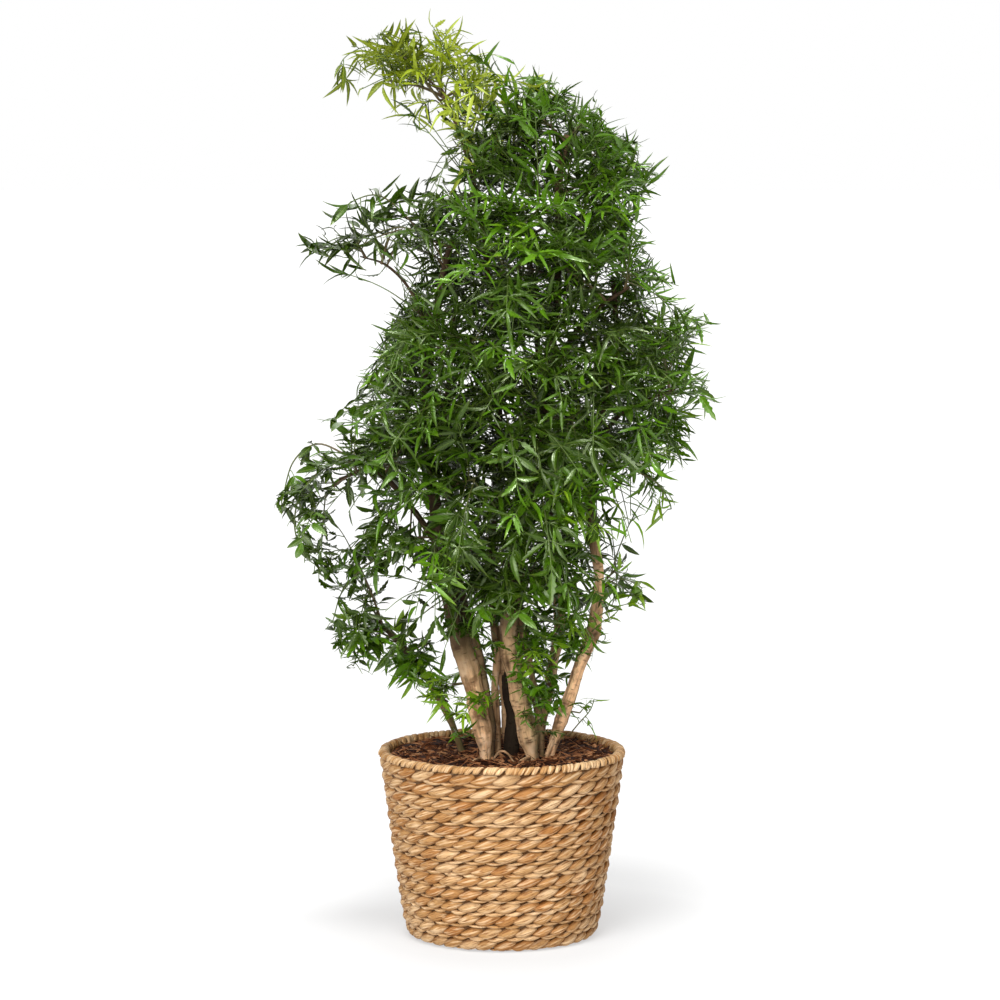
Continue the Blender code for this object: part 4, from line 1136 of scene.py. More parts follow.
def trunk_tube(body, places, radii, knots, seed, moss, tone, collar=0.0):
    """A round stem with ridges, knots and swellings, added to a body of lists."""
    sides = 20 if max(radii) > 0.009 else 14
    frames = turned_frames(places)
    start = len(body["verts"])
    travelled = 0.0
    for k, (centre, radius, (ahead, side)) in enumerate(zip(places, radii, frames)):
        up = ahead.cross(side)
        if k:
            travelled += (centre - places[k - 1]).length
        foot = math.exp(-max(0.0, centre.z - SOIL_LEVEL) / 0.028)
        flare = 1.0 - 0.38 * foot
        flare += 0.10 * math.exp(-((centre.z - 0.40) / 0.05) ** 2)
        flare += collar * math.exp(-travelled / 0.009)
        twist = 9.0 * travelled + seed
        for i in range(sides):
            angle = math.tau * i / sides
            out = side * math.cos(angle) + up * math.sin(angle)
            point = centre + out * radius
            lumps = noise.noise(point * 30.0 + Vector((seed, 0.0, 0.0))) * (0.34 + 0.30 * foot)
            ridges = 0.060 * math.cos(3.0 * angle + twist) + 0.045 * math.cos(5.0 * angle - 1.7 * twist)
            joint = math.cos(math.tau * (travelled / 0.031 + 0.5 * noise.noise(centre * 25.0)))
            ridges += 0.085 * max(0.0, joint) ** 7
            fine = noise.noise(Vector((point.x * 330.0, point.y * 330.0, point.z * 60.0))) * 0.045
            grown = radius * (flare + lumps + ridges + fine)
            knot = 0.0
            for spot, size in knots:
                far = (point - spot).length / size
                swelling = 0.32 * math.exp(-0.5 * far ** 2)
                hollow = 0.42 * math.exp(-0.5 * (far / 0.45) ** 2)
                grown += size * (swelling - hollow)
                knot = max(knot, math.exp(-0.5 * (far / 0.50) ** 2))
            body["verts"].append(centre + out * grown)
            body["bark_along"].append(travelled + seed)
            body["bark_round"].append(abs(angle - math.pi) * radius)
            body["knot"].append(knot)
            mossy = moss * max(0.0, 0.55 + 0.45 * out.x)
            body["moss"].append(mossy * max(0.0, 1.0 - abs(centre.z - 0.33) / 0.22))
            # Painted shade on the side turned away from the front-left light, full on the left trunks and
            # faint on the right one.
            lit = min(1.0, max(0.15, (0.085 - centre.x) / 0.05))
            shade = tone + 0.60 * lit * max(0.0, out.x * 0.9 + out.y * 0.3)
            # Painted shade under the leaves: darker higher up, starting lower on the left, and lighter again
            # near the top.
            under_leaves_shade = min(1.0, (centre.z - 0.370 - 0.85 * centre.x) / 0.09)
            near_top = min(1.0, max(0.0, (centre.z - 0.98) / 0.06))
            body["tone"].append(max(shade, (1.35 - 0.5 * near_top) * under_leaves_shade))
            body["damp"].append(max(0.0, 1.0 - max(0.0, centre.z - SOIL_LEVEL) / 0.010) * 0.7)
    body["faces"] += tube_faces(start, sides, len(places))


def at_height(places, height):
    """The number of the place nearest to this height."""
    return min(range(len(places)), key=lambda k: abs(places[k].z - height))


def trunk_piece(name, foot_radius, tip_radius, route, bark, moss, tone):
    """A trunk with its companions and boughs, as one mesh."""
    keys = ("bark_along", "bark_round", "knot", "moss", "tone", "damp")
    body = {key: [] for key in keys + ("verts", "faces")}
    low, high = Vector(route[0]), Vector(route[1])
    buried = low + (high - low) * ((TRUNK_BURIED - low.z) / (high.z - low.z))
    above = foot_radius * TRUNK_ABOVE_FOOT
    rest = len(route) - 2
    radii = [foot_radius, foot_radius, above]
    radii += [above + (tip_radius - above) * (k + 1) / rest for k in range(rest)]
    places, widths = smooth_route([buried] + [Vector(p) for p in route], radii, TRUNK_STEP)
    for k, place in enumerate(places):
        sway = 0.0034 * min(1.0, max(0.0, place.z - SOIL_LEVEL) / 0.03)
        sway *= min(1.0, (len(places) - 1 - k) / 9.0)
        bends = noise.noise_vector(Vector((0.0, 5.0 * foot_radius, place.z * 17.0)) + low * 40.0)
        places[k] = place + Vector((bends.x, bends.y, 0.0)) * sway
    knots = []
    for trunk, height, facing, size in KNOTS:
        if trunk == name:
            k = at_height(places, height)
            way = Vector((*facing, 0.0)).normalized()
            knots.append((places[k] + way * widths[k], size))
    seed = 0.37 * (sum(map(ord, name)) % 17)
    trunk_tube(body, places, widths, knots, seed, moss, tone)
    for trunk, thick, thin, shade, stem in COMPANIONS:
        if trunk == name:
            girths = [thick + (thin - thick) * j / (len(stem) - 1) for j in range(len(stem))]
            line, girths = smooth_route(stem, girths, TRUNK_STEP)
            trunk_tube(body, line, girths, (), seed + thick * 900.0, moss, shade)
    for trunk, height, tip, bough_route in BOUGHS:
        if trunk == name:
            k = at_height(places, height)
            thick = widths[k] * BOUGH_SHARE
            last = len(bough_route)
            girths = [thick + (tip - thick) * (j / last) ** 0.6 for j in range(last + 1)]
            line, girths = smooth_route([places[k]] + [Vector(p) for p in bough_route], girths, TRUNK_STEP)
            trunk_tube(body, line, girths, (), seed + height, moss, tone, 0.35)
    piece = link(mesh_object(name + "_bark", body["verts"], body["faces"],
                             {key: ("FLOAT", body[key]) for key in keys}))
    piece.data.materials.append(bark)
    return piece


# Foliage


class Fronds:
    """Leaf points and stalk lines of one piece of foliage."""

    def __init__(self):
        self.points, self.edges = [], []

    def blade(self, place, heading, face, length, width, form, tint):
        heading = heading.normalized()
        face = (face - heading * face.dot(heading)).normalized()
        side = heading.cross(face)
        turn = Matrix((side, heading, face)).transposed().to_euler()
        self.points.append((place, True, tuple(turn), (length * width, length, length), form, tint, 0.0))

    def stalk(self, places, thick, thin, tint_low, tint_high):
        """Points joined by edges, which the tree makes round."""
        first = len(self.points)
        last = len(places) - 1
        for k, place in enumerate(places):
            t = k / last
            self.points.append((place, False, (0.0, 0.0, 0.0), (1.0, 1.0, 1.0), 0,
                                tint_low + (tint_high - tint_low) * t, thick + (thin - thick) * t))
            if k:
                self.edges.append((first + k - 1, first + k))

    def undo(self, points, edges):
        """Take away all that was added after these counts."""
        del self.points[points:]
        del self.edges[edges:]

    def carrier(self, name):
        places, leaf, turns, sizes, forms, tints, thickness = zip(*self.points)
        return mesh_object(name, places, (), {
            "leaf": ("BOOLEAN", leaf), "turn": ("FLOAT_VECTOR", turns), "size": ("FLOAT_VECTOR", sizes),
            "form": ("INT", forms), "tint": ("FLOAT", tints), "thickness": ("FLOAT", thickness)}, self.edges)


def blade_form(name, half_width, teeth, notch, sweep, droop, fold):
    """A toothed blade one unit long, folded along its midrib and drooping to its tip."""
    rows = []
    for k in range(teeth):
        for share, cut in ((0.10 + 0.80 * k / teeth, notch), (0.10 + 0.80 * (k + 0.62) / teeth, 1.0)):
            wide = math.sin(math.pi * share ** 0.82) ** 0.85 * half_width * cut
            rows.append((share, wide, 0.018 if cut == 1.0 else -0.004))
    verts, across, along = [], [], []

    def put(x, share, side):
        bow = sweep * share * share
        verts.append(Vector((x + bow, share, fold * abs(x) - droop * share * share)))
        across.append(float(side))
        along.append(share)
        return len(verts) - 1

    base = put(0.0, 0.0, 0)
    rings = []
    for share, wide, ahead in rows:
        rings.append((put(-wide, share + ahead, -1), put(0.0, share, 0), put(wide, share + ahead, 1)))
    tip = put(0.0, 1.0, 0)
    faces = [(base, rings[0][1], rings[0][0]), (base, rings[0][2], rings[0][1])]
    for (l0, m0, r0), (l1, m1, r1) in zip(rings, rings[1:]):
        faces += [(l0, m0, m1, l1), (m0, r0, r1, m1)]
    left, middle, right = rings[-1]
    faces += [(left, middle, tip), (middle, right, tip)]
    return mesh_object(name, verts, faces, {"across": ("FLOAT", across), "along": ("FLOAT", along)})


# Leaflets, one unit long: half width, teeth a side, width left at a notch, sweep, droop and fold
LEAFLETS = (
    (0.080, 2, 0.90, 0.10, 0.48, 0.55), (0.080, 3, 0.86, 0.40, 0.58, 0.50),
    (0.080, 3, 0.86, -0.40, 0.58, 0.50), (0.062, 2, 0.92, -0.16, 0.30, 0.60),
    (0.125, 4, 0.58, 0.06, 0.18, 0.35), (0.180, 3, 0.42, -0.05, 0.20, 0.28),
    (0.145, 3, 0.97, 0.10, 0.22, 0.40), (0.120, 3, 0.95, -0.30, 0.36, 0.40),
)


def reach_at(height):
    """How far the leaves reach to the left and right at this height."""
    for (low, l0, r0), (high, l1, r1) in zip(OUTLINE, OUTLINE[1:]):
        if height < high:
            t = max(0.0, (height - low) / (high - low))
            return l0 + (l1 - l0) * t, r0 + (r1 - r0) * t
    return OUTLINE[-1][1:]


def inside(point, margin=0.006):
    """Whether a leaf tip stays within the plant's reach, seen from the front and from above."""
    if not OUTLINE[0][0] - 0.01 < point.z < OUTLINE[-1][0] + 0.003:
        return False
    left, right = reach_at(point.z)
    if not left - margin < point.x < right + margin:
        return False
    return abs(point.y) < DEPTH_REACH


def outness(point):
    """0 at the middle of the plant, where leaves are tinted dark for their age and as painted shade, and 1 at
    its outside.
    """
    left, right = reach_at(point.z)
    across = (point.x - (left + right) / 2) / max(0.03, (right - left) / 2)
    return min(1.0, math.hypot(across, point.y / 0.15))


def kept_here(point, rng):
    """Whether a leaf grows here, or leaves the plant open as the real one is."""
    share = 1.0
    for x, z, radius, kept in CLEARINGS:
        if math.hypot(point.x - x, point.z - z) < radius:
            share = min(share, kept)
    if BARE_SIDES[0] < point.x < BARE_SIDES[1] and point.z < BARE_HEIGHT + 0.02 * math.sin(point.x * 90.0):
        share = min(share, BARE_KEPT)
    return rng.random() < share


def brightness(point):
    """How much brighter the young growth is here."""
    total = 0.0
    for x, z, radius, amount in BRIGHT_PATCHES:
        far = math.hypot(point.x - x, point.z - z) / radius
        total += amount * math.exp(-far * far) * (1.0 if point.y < 0.08 else 0.5)
    return total


def grow_cluster(fronds, foot, heading, face, length, blades, habit, tint, rng, free):
    """A short stem with a blade at its end and pairs of shorter blades along it."""
    pairs = blades // 2
    stem = rng.uniform(*habit["stem"]) * (0.5 + 0.5 * pairs)
    top = foot + heading * stem
    side = heading.cross(face).normalized()
    kept = 0
    for k in range(blades):
        step = (k + 1) // 2
        way = 1.0 if k % 2 else -1.0
        place = top.lerp(foot, 0.0 if step == 0 else (step - 0.35 * (pairs > 1)) / (pairs + 0.4))
        angle = way * (rng.uniform(0.5, 1.15) if step else rng.uniform(-0.25, 0.25))
        share = (1.0, rng.uniform(0.66, 0.90), rng.uniform(0.52, 0.75))[step]
        aim = heading * math.cos(angle) + side * math.sin(angle)
        aim = (aim + UP * (rng.uniform(-0.38, 0.32) + 0.5 * habit.get("lift", 0.0))).normalized()
        roll = face * rng.choice((1.0, 1.0, -1.0)) + side * rng.uniform(-0.9, 0.9)
        roll += heading * rng.uniform(-0.3, 0.3)
        tip = place + aim * length * share
        if not inside(tip) or not inside(place, 0.004):
            continue
        if not free and not kept_here(place.lerp(tip, 0.6), rng):
            continue
        form = rng.choice(habit["forms"])
        # Leaves deep in the plant are tinted darker, for age and as painted shade; outer ones a little
        # lighter.
        fronds.blade(place, aim, roll, length * share * rng.uniform(0.9, 1.1),
                     habit["width"] * rng.uniform(0.85, 1.15), form,
                     tint + rng.uniform(-0.10, 0.10) + 0.42 * (outness(tip) - 0.84))
        kept += 1
    if kept:
        fronds.stalk([foot, top + heading * 0.002], 0.00065, 0.0005, 0.75, 0.95)
    return kept


def frond_line(foot, ahead, length, droop):
    """The stalk of a frond, which bends down as it goes."""
    steps = 9
    line, ways = [foot], [ahead.normalized()]
    for _ in range(steps):
        way = (ways[-1] - UP * (droop * length / steps * 9.0)).normalized()
        line.append(line[-1] + way * (length / steps))
        ways.append(way)
    return line, ways


def grow_frond(fronds, foot, ahead, droop, size, habit, tint, rng, free=False):
    """A compound leaf: an arching stalk, pairs of clusters along it and one at its end."""
    nodes = rng.randint(*habit["nodes"])
    pitch = habit["pitch"] * size * rng.uniform(0.85, 1.15)
    petiole = habit["petiole"] * size * rng.uniform(0.8, 1.2)
    length = petiole + pitch * nodes
    best = None
    for _ in range(7):
        stray = Vector([rng.uniform(-0.5, 0.5) for _ in range(3)])
        line, ways = frond_line(foot, ahead + stray, length, droop)
        score = sum(inside(p, 0.0) for p in line[3:]) + 2 * inside(line[-1] + ways[-1] * 0.03, 0.0)
        if best is None or score > best[0]:
            best = (score, line, ways)
        if score >= 9:
            break
    score, line, ways = best
    if score < 5:
        return 0
    kept, end = 0, 0
    before = len(fronds.points), len(fronds.edges)
    steps = len(line) - 1
    blade = habit["blade"] * size
    for k in range(nodes + 1):
        already = kept
        share = min(1.0, (petiole + pitch * k) / length)
        at = share * steps
        i = min(int(at), steps - 1)
        place = line[i].lerp(line[i + 1], at - i)
        way = ways[i + 1]
        face = UP - way * UP.dot(way)
        face = (face if face.length > 0.1 else way.orthogonal()).normalized()
        face = (face + way.cross(face) * rng.uniform(-0.35, 0.35)).normalized()
        side = way.cross(face)
        if k == nodes:
            kept += grow_cluster(fronds, place, way, face, blade * 1.1, 5, habit, tint + 0.05, rng, free)
            end = steps if kept > already else end
            continue
        grow = (0.82, 1.0, 0.95, 0.85, 0.8)[k]
        for hand in (-1.0, 1.0):
            spread = rng.uniform(0.75, 1.15)
            aim = (way * math.cos(spread) + side * (hand * math.sin(spread))).normalized()
            kept += grow_cluster(fronds, place, aim, face, blade * grow * rng.uniform(0.85, 1.1),
                                 rng.choice(habit["blades"]), habit, tint, rng, free)
        if kept > already:
            end = min(i + 1, steps)
    if kept < 5:
        fronds.undo(*before)
        return 0
    fronds.stalk(line[:end + 1], 0.0010, 0.0006, 0.50, 0.85)
    return kept


def wood_lines():
    """The axis lines of the trunks and boughs, which twigs grow from."""
    lines = []
    for name, _, _, route in TRUNKS:
        lines.append([Vector(p) for p in route])
        lines += [[Vector(p) for p in bough[3]] for bough in BOUGHS if bough[0] == name]
    return lines


def wood_point(lines, target):
    """The point that a shoot grows from: near its target, and rather below it than above."""
    best = None
    for line in lines:
        for low, high in zip(line, line[1:]):
            for share in SEAT_SHARES:
                axis = low + (high - low) * share
                if axis.z < LOWEST_TWIG:
                    continue
                reach = (target - axis).length
                cost = reach + DROP_COST * max(0.0, axis.z + TWIG_RISE * reach - target.z)
                if best is None or cost < best[0]:
                    best = (cost, axis)
    return best[1]


def wood_seat(lines, place):
    """The point inside the nearest stem, so that no twig hangs free."""
    spots = (low.lerp(high, k / 8) for line in lines for low, high in zip(line, line[1:]) for k in range(9))
    return min(spots, key=lambda spot: (spot - place).length)


def lean_at(place):
    """The way that fronds lean: outward, and downward low on the plant."""
    outward = Vector((place.x - PLANT_AXIS_X, place.y, 0.0))
    outward = outward.normalized() if outward.length > 0.001 else Vector((0.0, -1.0, 0.0))
    share = (place.z - LOWEST_TWIG) / (PLANT_TOP - LOWEST_TWIG)
    return outward * OUTWARD_AIM + UP * (LOW_AIM + (HIGH_AIM - LOW_AIM) * share), share


def grow_shoot(fronds, lines, target, size, habit, rng):
    """A twig from the wood to its target, and the fronds spaced along its outer part."""
    foot = wood_point(lines, target)
    reach = (target - foot).length
    away = (target - foot).normalized()
    bend = foot + (away + UP * 0.35).normalized() * (TWIG_BEND * reach)
    twig = []
    for k in range(9):
        t = k / 8.0
        twig.append(foot * (1 - t) ** 2 + bend * (2 * t * (1 - t)) + target * t ** 2)
    fronds.stalk(twig, TWIG_RADIUS, 0.0013, 0.10, 0.50)
    lean, share = lean_at(target)
    droop = habit.get("droop", 0.90 - 0.45 * share)
    turn = rng.uniform(0.0, math.tau)
    count = habit["fronds"]
    for k in range(count):
        at = 1.0 if k == 0 else 1.0 - 0.62 * (k / (count - 1)) ** 1.1
        i = min(int(at * 8), 7)
        place = twig[i].lerp(twig[i + 1], at * 8 - i)
        ahead = (twig[i + 1] - twig[i]).normalized()
        side = ahead.orthogonal().normalized()
        turn += GOLDEN_ANGLE
        sideways = side * math.cos(turn) + ahead.cross(side) * math.sin(turn)
        open_out = 0.25 if k == 0 else 0.95
        aim = (ahead * (1.0 - 0.45 * open_out) + sideways * open_out + lean * 0.45).normalized()
        fresh = 0.22 if rng.random() < 0.14 else 0.0
        tint = habit["tint"] + brightness(place) + rng.uniform(-0.28, 0.20) + 0.12 * (at - 0.6) + fresh
        grow_frond(fronds, place, aim, droop, size * rng.uniform(0.88, 1.08), habit, tint, rng)


def grow_filler(fronds, low, high, count, x_range, y_range, habit, rng):
    """Fronds inside the plant, close to the wood, tinted dark as painted shade."""
    for _ in range(count):
        route = TRUNKS[rng.randrange(len(TRUNKS))][3]
        height = rng.uniform(low, high)
        spans = [(a, b) for a, b in zip(route, route[1:]) if a[2] <= height < b[2]]
        if not spans:
            continue
        a, b = (Vector(p) for p in spans[0])
        place = a.lerp(b, (height - a.z) / (b.z - a.z))
        if not (x_range[0] <= place.x < x_range[1] and y_range[0] <= place.y < y_range[1]):
            continue
        angle = rng.uniform(0.0, math.tau)
        aim = Vector((math.cos(angle), math.sin(angle), rng.uniform(-0.1, 0.5)))
        # A low tint: painted shade.
        grow_frond(fronds, place, aim, 1.3, 0.9, habit, 0.18 + rng.uniform(-0.1, 0.1), rng)


# Little shoots: the habit, and in mm where each stands, the way it faces (x, y), its size and count
SPRIGS = {
    "foliage_lower_front": ("sprig", (
        (-34, -70, 322, -0.4, -1.0, 0.9, 3), (-30, -66, 330, 0.5, -1.0, 0.85, 3),
        (-50, -45, 272, -0.8, -0.7, 1.2, 3), (-42, -40, 290, -1.0, 0.1, 1.0, 2),
        (106, -20, 300, 1.0, 0.0, 0.8, 3), (112, -20, 325, 1.0, 0.1, 0.9, 2),
        (30, -60, 300, 0.2, -1.0, 0.6, 3), (42, -56, 285, 0.9, -0.6, 0.6, 3),
        (34, -56, 315, 0.9, -0.4, 0.7, 3), (30, -58, 335, 1.0, -0.7, 0.8, 3),
        (24, -58, 350, 0.2, -1.0, 0.8, 3), (30, -54, 362, 1.0, -0.1, 0.9, 3),
        (18, -58, 378, 0.6, -0.9, 0.9, 4), (28, -50, 388, 1.0, 0.3, 1.0, 4),
        (18, -56, 402, 0.9, -0.6, 1.0, 4), (26, -52, 414, 0.8, 0.2, 1.1, 4),
        (60, 30, 330, 0.4, -0.8, 1.2, 3), (66, 40, 365, -0.6, -0.7, 1.3, 4),
        (74, 50, 395, 0.5, -0.6, 1.4, 4), (70, 50, 420, -0.8, -0.2, 1.4, 4),
        (118, -26, 400, 1.0, -0.3, 1.3, 3), (124, -26, 420, 0.9, 0.4, 1.3, 2),
        (114, -26, 385, -0.8, -0.6, 0.9, 2), (-60, -52, 415, 0.9, -0.9, 0.9, 4),
        (-48, -48, 385, 0.9, -0.3, 0.8, 3), (-2, 0, 385, -0.5, -0.8, 1.0, 3),
        (-98, 8, 392, -0.3, -0.8, 1.3, 4), (92, -30, 432, -0.5, -0.8, 1.1, 4),
        (-75, 12, 305, -0.7, -0.6, 1.2, 3), (96, -26, 408, -0.2, -0.9, 0.9, 3),
        (-68, -20, 336, -0.4, -0.8, 1.0, 4), (-100, 14, 340, -0.8, -0.5, 1.4, 3),
        (-118, 16, 365, -0.5, 0.3, 1.5, 3), (-140, 18, 392, -0.9, -0.4, 1.2, 2),
        (-108, 10, 375, 0.1, -0.9, 1.1, 3), (-160, 20, 410, -0.7, -0.8, 1.3, 2),
        (-165, 20, 400, -0.9, 0.2, 0.9, 2), (20, 100, 300, 0.3, 1.0, 1.2, 3),
        (-30, 85, 340, -0.5, 0.9, 1.4, 3),
    )),
}

# Long stems that hang or arch out of each piece: habit, size, thickness, and in mm the depth (y) at
# both ends and the route (x, z)
VINES = {
    "foliage_right": (
        ("crest", 1.00, 0.0014, -40, -50, ((190, 770), (225, 796), (250, 812), (262, 812))),
        ("crest", 0.90, 0.0014, -20, -20, ((205, 725), (240, 735), (262, 728), (268, 712))),
        ("sprig", 1.30, 0.0012, -20, -32, ((128, 462), (152, 478), (180, 470), (198, 448))),
        ("sprig", 1.20, 0.0012, -22, -40, ((122, 430), (140, 445), (166, 432), (176, 412))),
        ("sprig", 1.00, 0.0010, -28, -40, ((88, 270), (102, 288), (116, 305), (122, 322))),
        ("sprig", 1.40, 0.0012, -20, -40, ((165, 625), (202, 606), (222, 572), (218, 538))),
    ),
    "foliage_young_top": (
        ("feather", 1.10, 0.0018, -12, -12, (
            (-66, 1082), (-95, 1124), (-128, 1160), (-172, 1174), (-202, 1162), (-214, 1144))),
        ("feather", 0.90, 0.0014, -6, -10, ((-80, 1112), (-78, 1150), (-76, 1172), (-72, 1186))),
        ("crest", 0.90, 0.0014, -6, -20, ((-110, 1142), (-138, 1172), (-158, 1184), (-180, 1178))),
        ("crest", 0.85, 0.0014, -10, -4, ((-104, 1130), (-122, 1162), (-136, 1180), (-148, 1187))),
        ("feather", 1.00, 0.0016, -4, -14, ((-71, 1092), (-53, 1131), (-36, 1148), (-14, 1142), (-8, 1128))),
        ("feather", 1.10, 0.0016, -20, -34, ((-82, 1105), (-108, 1136), (-132, 1148), (-152, 1136))),
        ("feather", 0.95, 0.0014, -16, -30, ((-72, 1088), (-86, 1104), (-102, 1100), (-114, 1078))),
        ("feather", 1.00, 0.0014, 10, 30, ((-80, 1112), (-110, 1150), (-140, 1166), (-165, 1150))),
        ("feather", 0.95, 0.0014, -14, -38, ((-74, 1094), (-72, 1126), (-60, 1144), (-46, 1134))),
        ("feather", 0.90, 0.0012, -16, -26, ((-34, 985), (-36, 1050), (-24, 1092), (-3, 1108))),
    ),
    "foliage_lower_left": (
        ("olive", 1.00, 0.0018, -60, -80, (
            (-150, 632), (-215, 636), (-258, 602), (-270, 555), (-256, 515), (-228, 495))),
        ("olive", 0.95, 0.0014, -66, -55, ((-200, 645), (-240, 660), (-272, 636), (-288, 582))),
        ("olive", 1.00, 0.0016, -40, -55, ((-110, 535), (-160, 512), (-206, 470), (-222, 425))),
        ("olive", 0.85, 0.0014, -40, -30, ((-120, 545), (-165, 520), (-224, 515), (-252, 480))),
        ("olive", 0.90, 0.0014, -60, -70, ((-95, 600), (-125, 630), (-165, 640), (-200, 622))),
        ("olive", 0.90, 0.0014, -50, -60, ((-105, 560), (-135, 588), (-162, 565), (-172, 530))),
        ("olive", 0.95, 0.0018, 20, -5, ((-132, 385), (-172, 406), (-208, 406), (-228, 388))),
        ("olive", 0.95, 0.0014, 18, -20, ((-150, 405), (-172, 405), (-190, 378), (-196, 362))),
    ),
    "foliage_left_branch": (
        ("arching", 0.95, 0.0016, -30, -30, (
            (-70, 885), (-95, 925), (-130, 940), (-175, 930), (-215, 926), (-246, 908))),
        ("arching", 0.95, 0.0014, -30, -40, (
            (-100, 925), (-132, 962), (-162, 982), (-194, 974), (-216, 954))),
        ("arching", 0.85, 0.0014, -30, -45, ((-130, 938), (-168, 925), (-195, 905), (-204, 885))),
    ),
    "foliage_lower_front": (
        ("olive", 1.05, 0.0014, -66, -84, ((56, 610), (68, 570), (80, 520), (90, 462))),
    ),
    "foliage_crown": (
        ("crest", 1.00, 0.0014, -30, -50, ((48, 1030), (38, 1080), (30, 1106), (26, 1124))),
        ("crest", 1.00, 0.0014, -30, -40, ((70, 1040), (62, 1085), (56, 1110), (62, 1124))),
        ("crest", 1.00, 0.0014, -30, -30, ((85, 1040), (100, 1070), (112, 1090), (126, 1094))),
        ("crest", 1.00, 0.0014, -30, -50, ((100, 1020), (135, 1045), (158, 1052), (172, 1040))),
        ("crest", 1.00, 0.0014, -30, -40, ((110, 985), (145, 1010), (175, 1022), (192, 1008))),
        ("crest", 1.00, 0.0014, -30, -30, ((115, 950), (150, 968), (175, 980), (190, 968))),
        ("crest", 1.00, 0.0014, -30, -50, ((80, 960), (84, 1000), (92, 1040), (90, 1066))),
        ("crest", 1.00, 0.0014, -30, -40, ((60, 960), (30, 1020), (12, 1065), (6, 1092))),
    ),
}
VINE_STEP = 0.006


def grow_sprigs(fronds, lines, habit, spots, rng):
    """Little shoots at given places, each held by a stalk from the nearest wood."""
    for x, y, z, east, north, size, count in spots:
        for _ in range(count):
            aim = Vector((east, north, rng.uniform(-0.3, 0.7))).normalized()
            start = Vector((x + rng.uniform(-4.0, 4.0), y, z + rng.uniform(-6.0, 6.0))) * 0.001
            tint = habit["tint"] + brightness(start) + rng.uniform(-0.30, 0.20)
            scale = size * rng.uniform(0.8, 1.2)
            if grow_frond(fronds, start, aim, habit.get("droop", 1.0), scale, habit, tint, rng, True):
                fronds.stalk([wood_seat(lines, start), start], 0.0012, 0.0010, 0.25, 0.50)


def grow_vine(fronds, lines, habit, size, thick, near, far, route, rng):
    """A long thin stem with clusters of leaflets on short stalks all along it."""
    last = len(route) - 1
    places = [Vector((x, near + (far - near) * k / last, z)) * 0.001 for k, (x, z) in enumerate(route)]
    line, _ = smooth_route(places, [thick] * len(places), VINE_STEP)
    lift = habit.get("lift", 0.0)
    gap, due, end = 0.5 * habit["pitch"] * size, 0.0, 0
    for k in range(len(line) // 4, len(line)):
        due += VINE_STEP
        while due > gap:
            due -= gap
            ahead = (line[k] - line[k - 1]).normalized()
            side = ahead.orthogonal().normalized()
            turn = rng.uniform(0.0, math.tau)
            aim = ahead * rng.uniform(0.1, 0.8) + side * math.cos(turn) + ahead.cross(side) * math.sin(turn)
            aim = (aim + UP * (rng.uniform(-0.5, 0.25) + lift)).normalized()
            face = (UP - aim * UP.dot(aim) + side * 0.2).normalized()
            reach = habit["petiole"] * size * rng.uniform(0.4, 1.1)
            middle = line[k] + (aim + UP * 0.25).normalized() * reach * 0.5
            tip = middle + (aim - UP * 0.2).normalized() * reach * 0.5
            tint = habit["tint"] + rng.uniform(-0.16, 0.22) + brightness(tip)
            if grow_cluster(fronds, tip, (aim + UP * (lift - 0.3)).normalized(), face, habit["blade"] * size,
                            rng.choice(habit["blades"]), habit, tint, rng, True):
                fronds.stalk([line[k], middle, tip], 0.0008, 0.0006, 0.6, 0.9)
                end = k
    if end:
        fronds.stalk([wood_seat(lines, line[0])] + line[:end + 1], thick, 0.0007, 0.25, 0.80)


# Fronds inside the plant, tinted dark as painted shade: lowest and highest, how many, and the sides (x, y)
# they stay between
FILLERS = {
    "foliage_crown": (0.90, 1.06, 120, (-0.2, 0.3), (-0.2, 0.2)),
    "foliage_upper_front": (0.66, 0.92, 110, (-0.3, 0.12), (-0.2, 0.05)),
    "foliage_right": (0.56, 0.90, 80, (0.08, 0.3), (-0.2, 0.2)),
    "foliage_lower_front": (0.46, 0.70, 90, (-0.12, 0.08), (-0.2, 0.05)),
    "foliage_back": (0.48, 0.92, 135, (-0.3, 0.3), (0.03, 0.3)),
}


def foliage_piece(name, habit_name, numbers, lines, tree, shelf, settings, leaf, stalk):
    """All that grows in one region of the plant, as one mesh."""
    rng = random.Random(SEED + 100 + numbers[0])
    habit = HABITS[habit_name]
    fronds = Fronds()
    for number in numbers:
        *target, size = SHOOTS[number - 1]
        grow_shoot(fronds, lines, Vector(target), size, habit, rng)
    if name in SPRIGS:
        grow_sprigs(fronds, lines, HABITS[SPRIGS[name][0]], SPRIGS[name][1], rng)
    for vine_habit, *vine in VINES.get(name, ()):
        grow_vine(fronds, lines, HABITS[vine_habit], *vine, rng)
    if name in FILLERS:
        grow_filler(fronds, *FILLERS[name], habit, rng)
    return run_tree(fronds.carrier(name + "_points"), tree, {
        "Leaflets": shelf, "Leaflet Size": settings.leaflet_size, "Stalk Size": 1.0, "Stalk Sides": 4,
        "Leaf": leaf, "Stalk": stalk}, name)


# Settings that a user would change


class AraliaBasketSettings(bpy.types.PropertyGroup):
    rows: IntProperty(name="Plait rows", description="Rows of plait up the wall", default=14, min=6)
    lobes: IntProperty(name="Lobes a row", description="Strand ends round each row", default=33, min=12)
    wraps: IntProperty(name="Rim wraps", description="Strands wrapped over the rim", default=104, min=24)
    lobe_rise: FloatProperty(
        name="Lobe rise", description="How far each strand stands out of the wall", default=0.0066,
        min=0.001, unit="LENGTH", subtype="DISTANCE", precision=4)
    fibre_colour: FloatVectorProperty(
        name="Fibre colour", description="The middle straw tone", subtype="COLOR", size=3,
        default=(0.45, 0.245, 0.092), min=0.0, max=1.0)


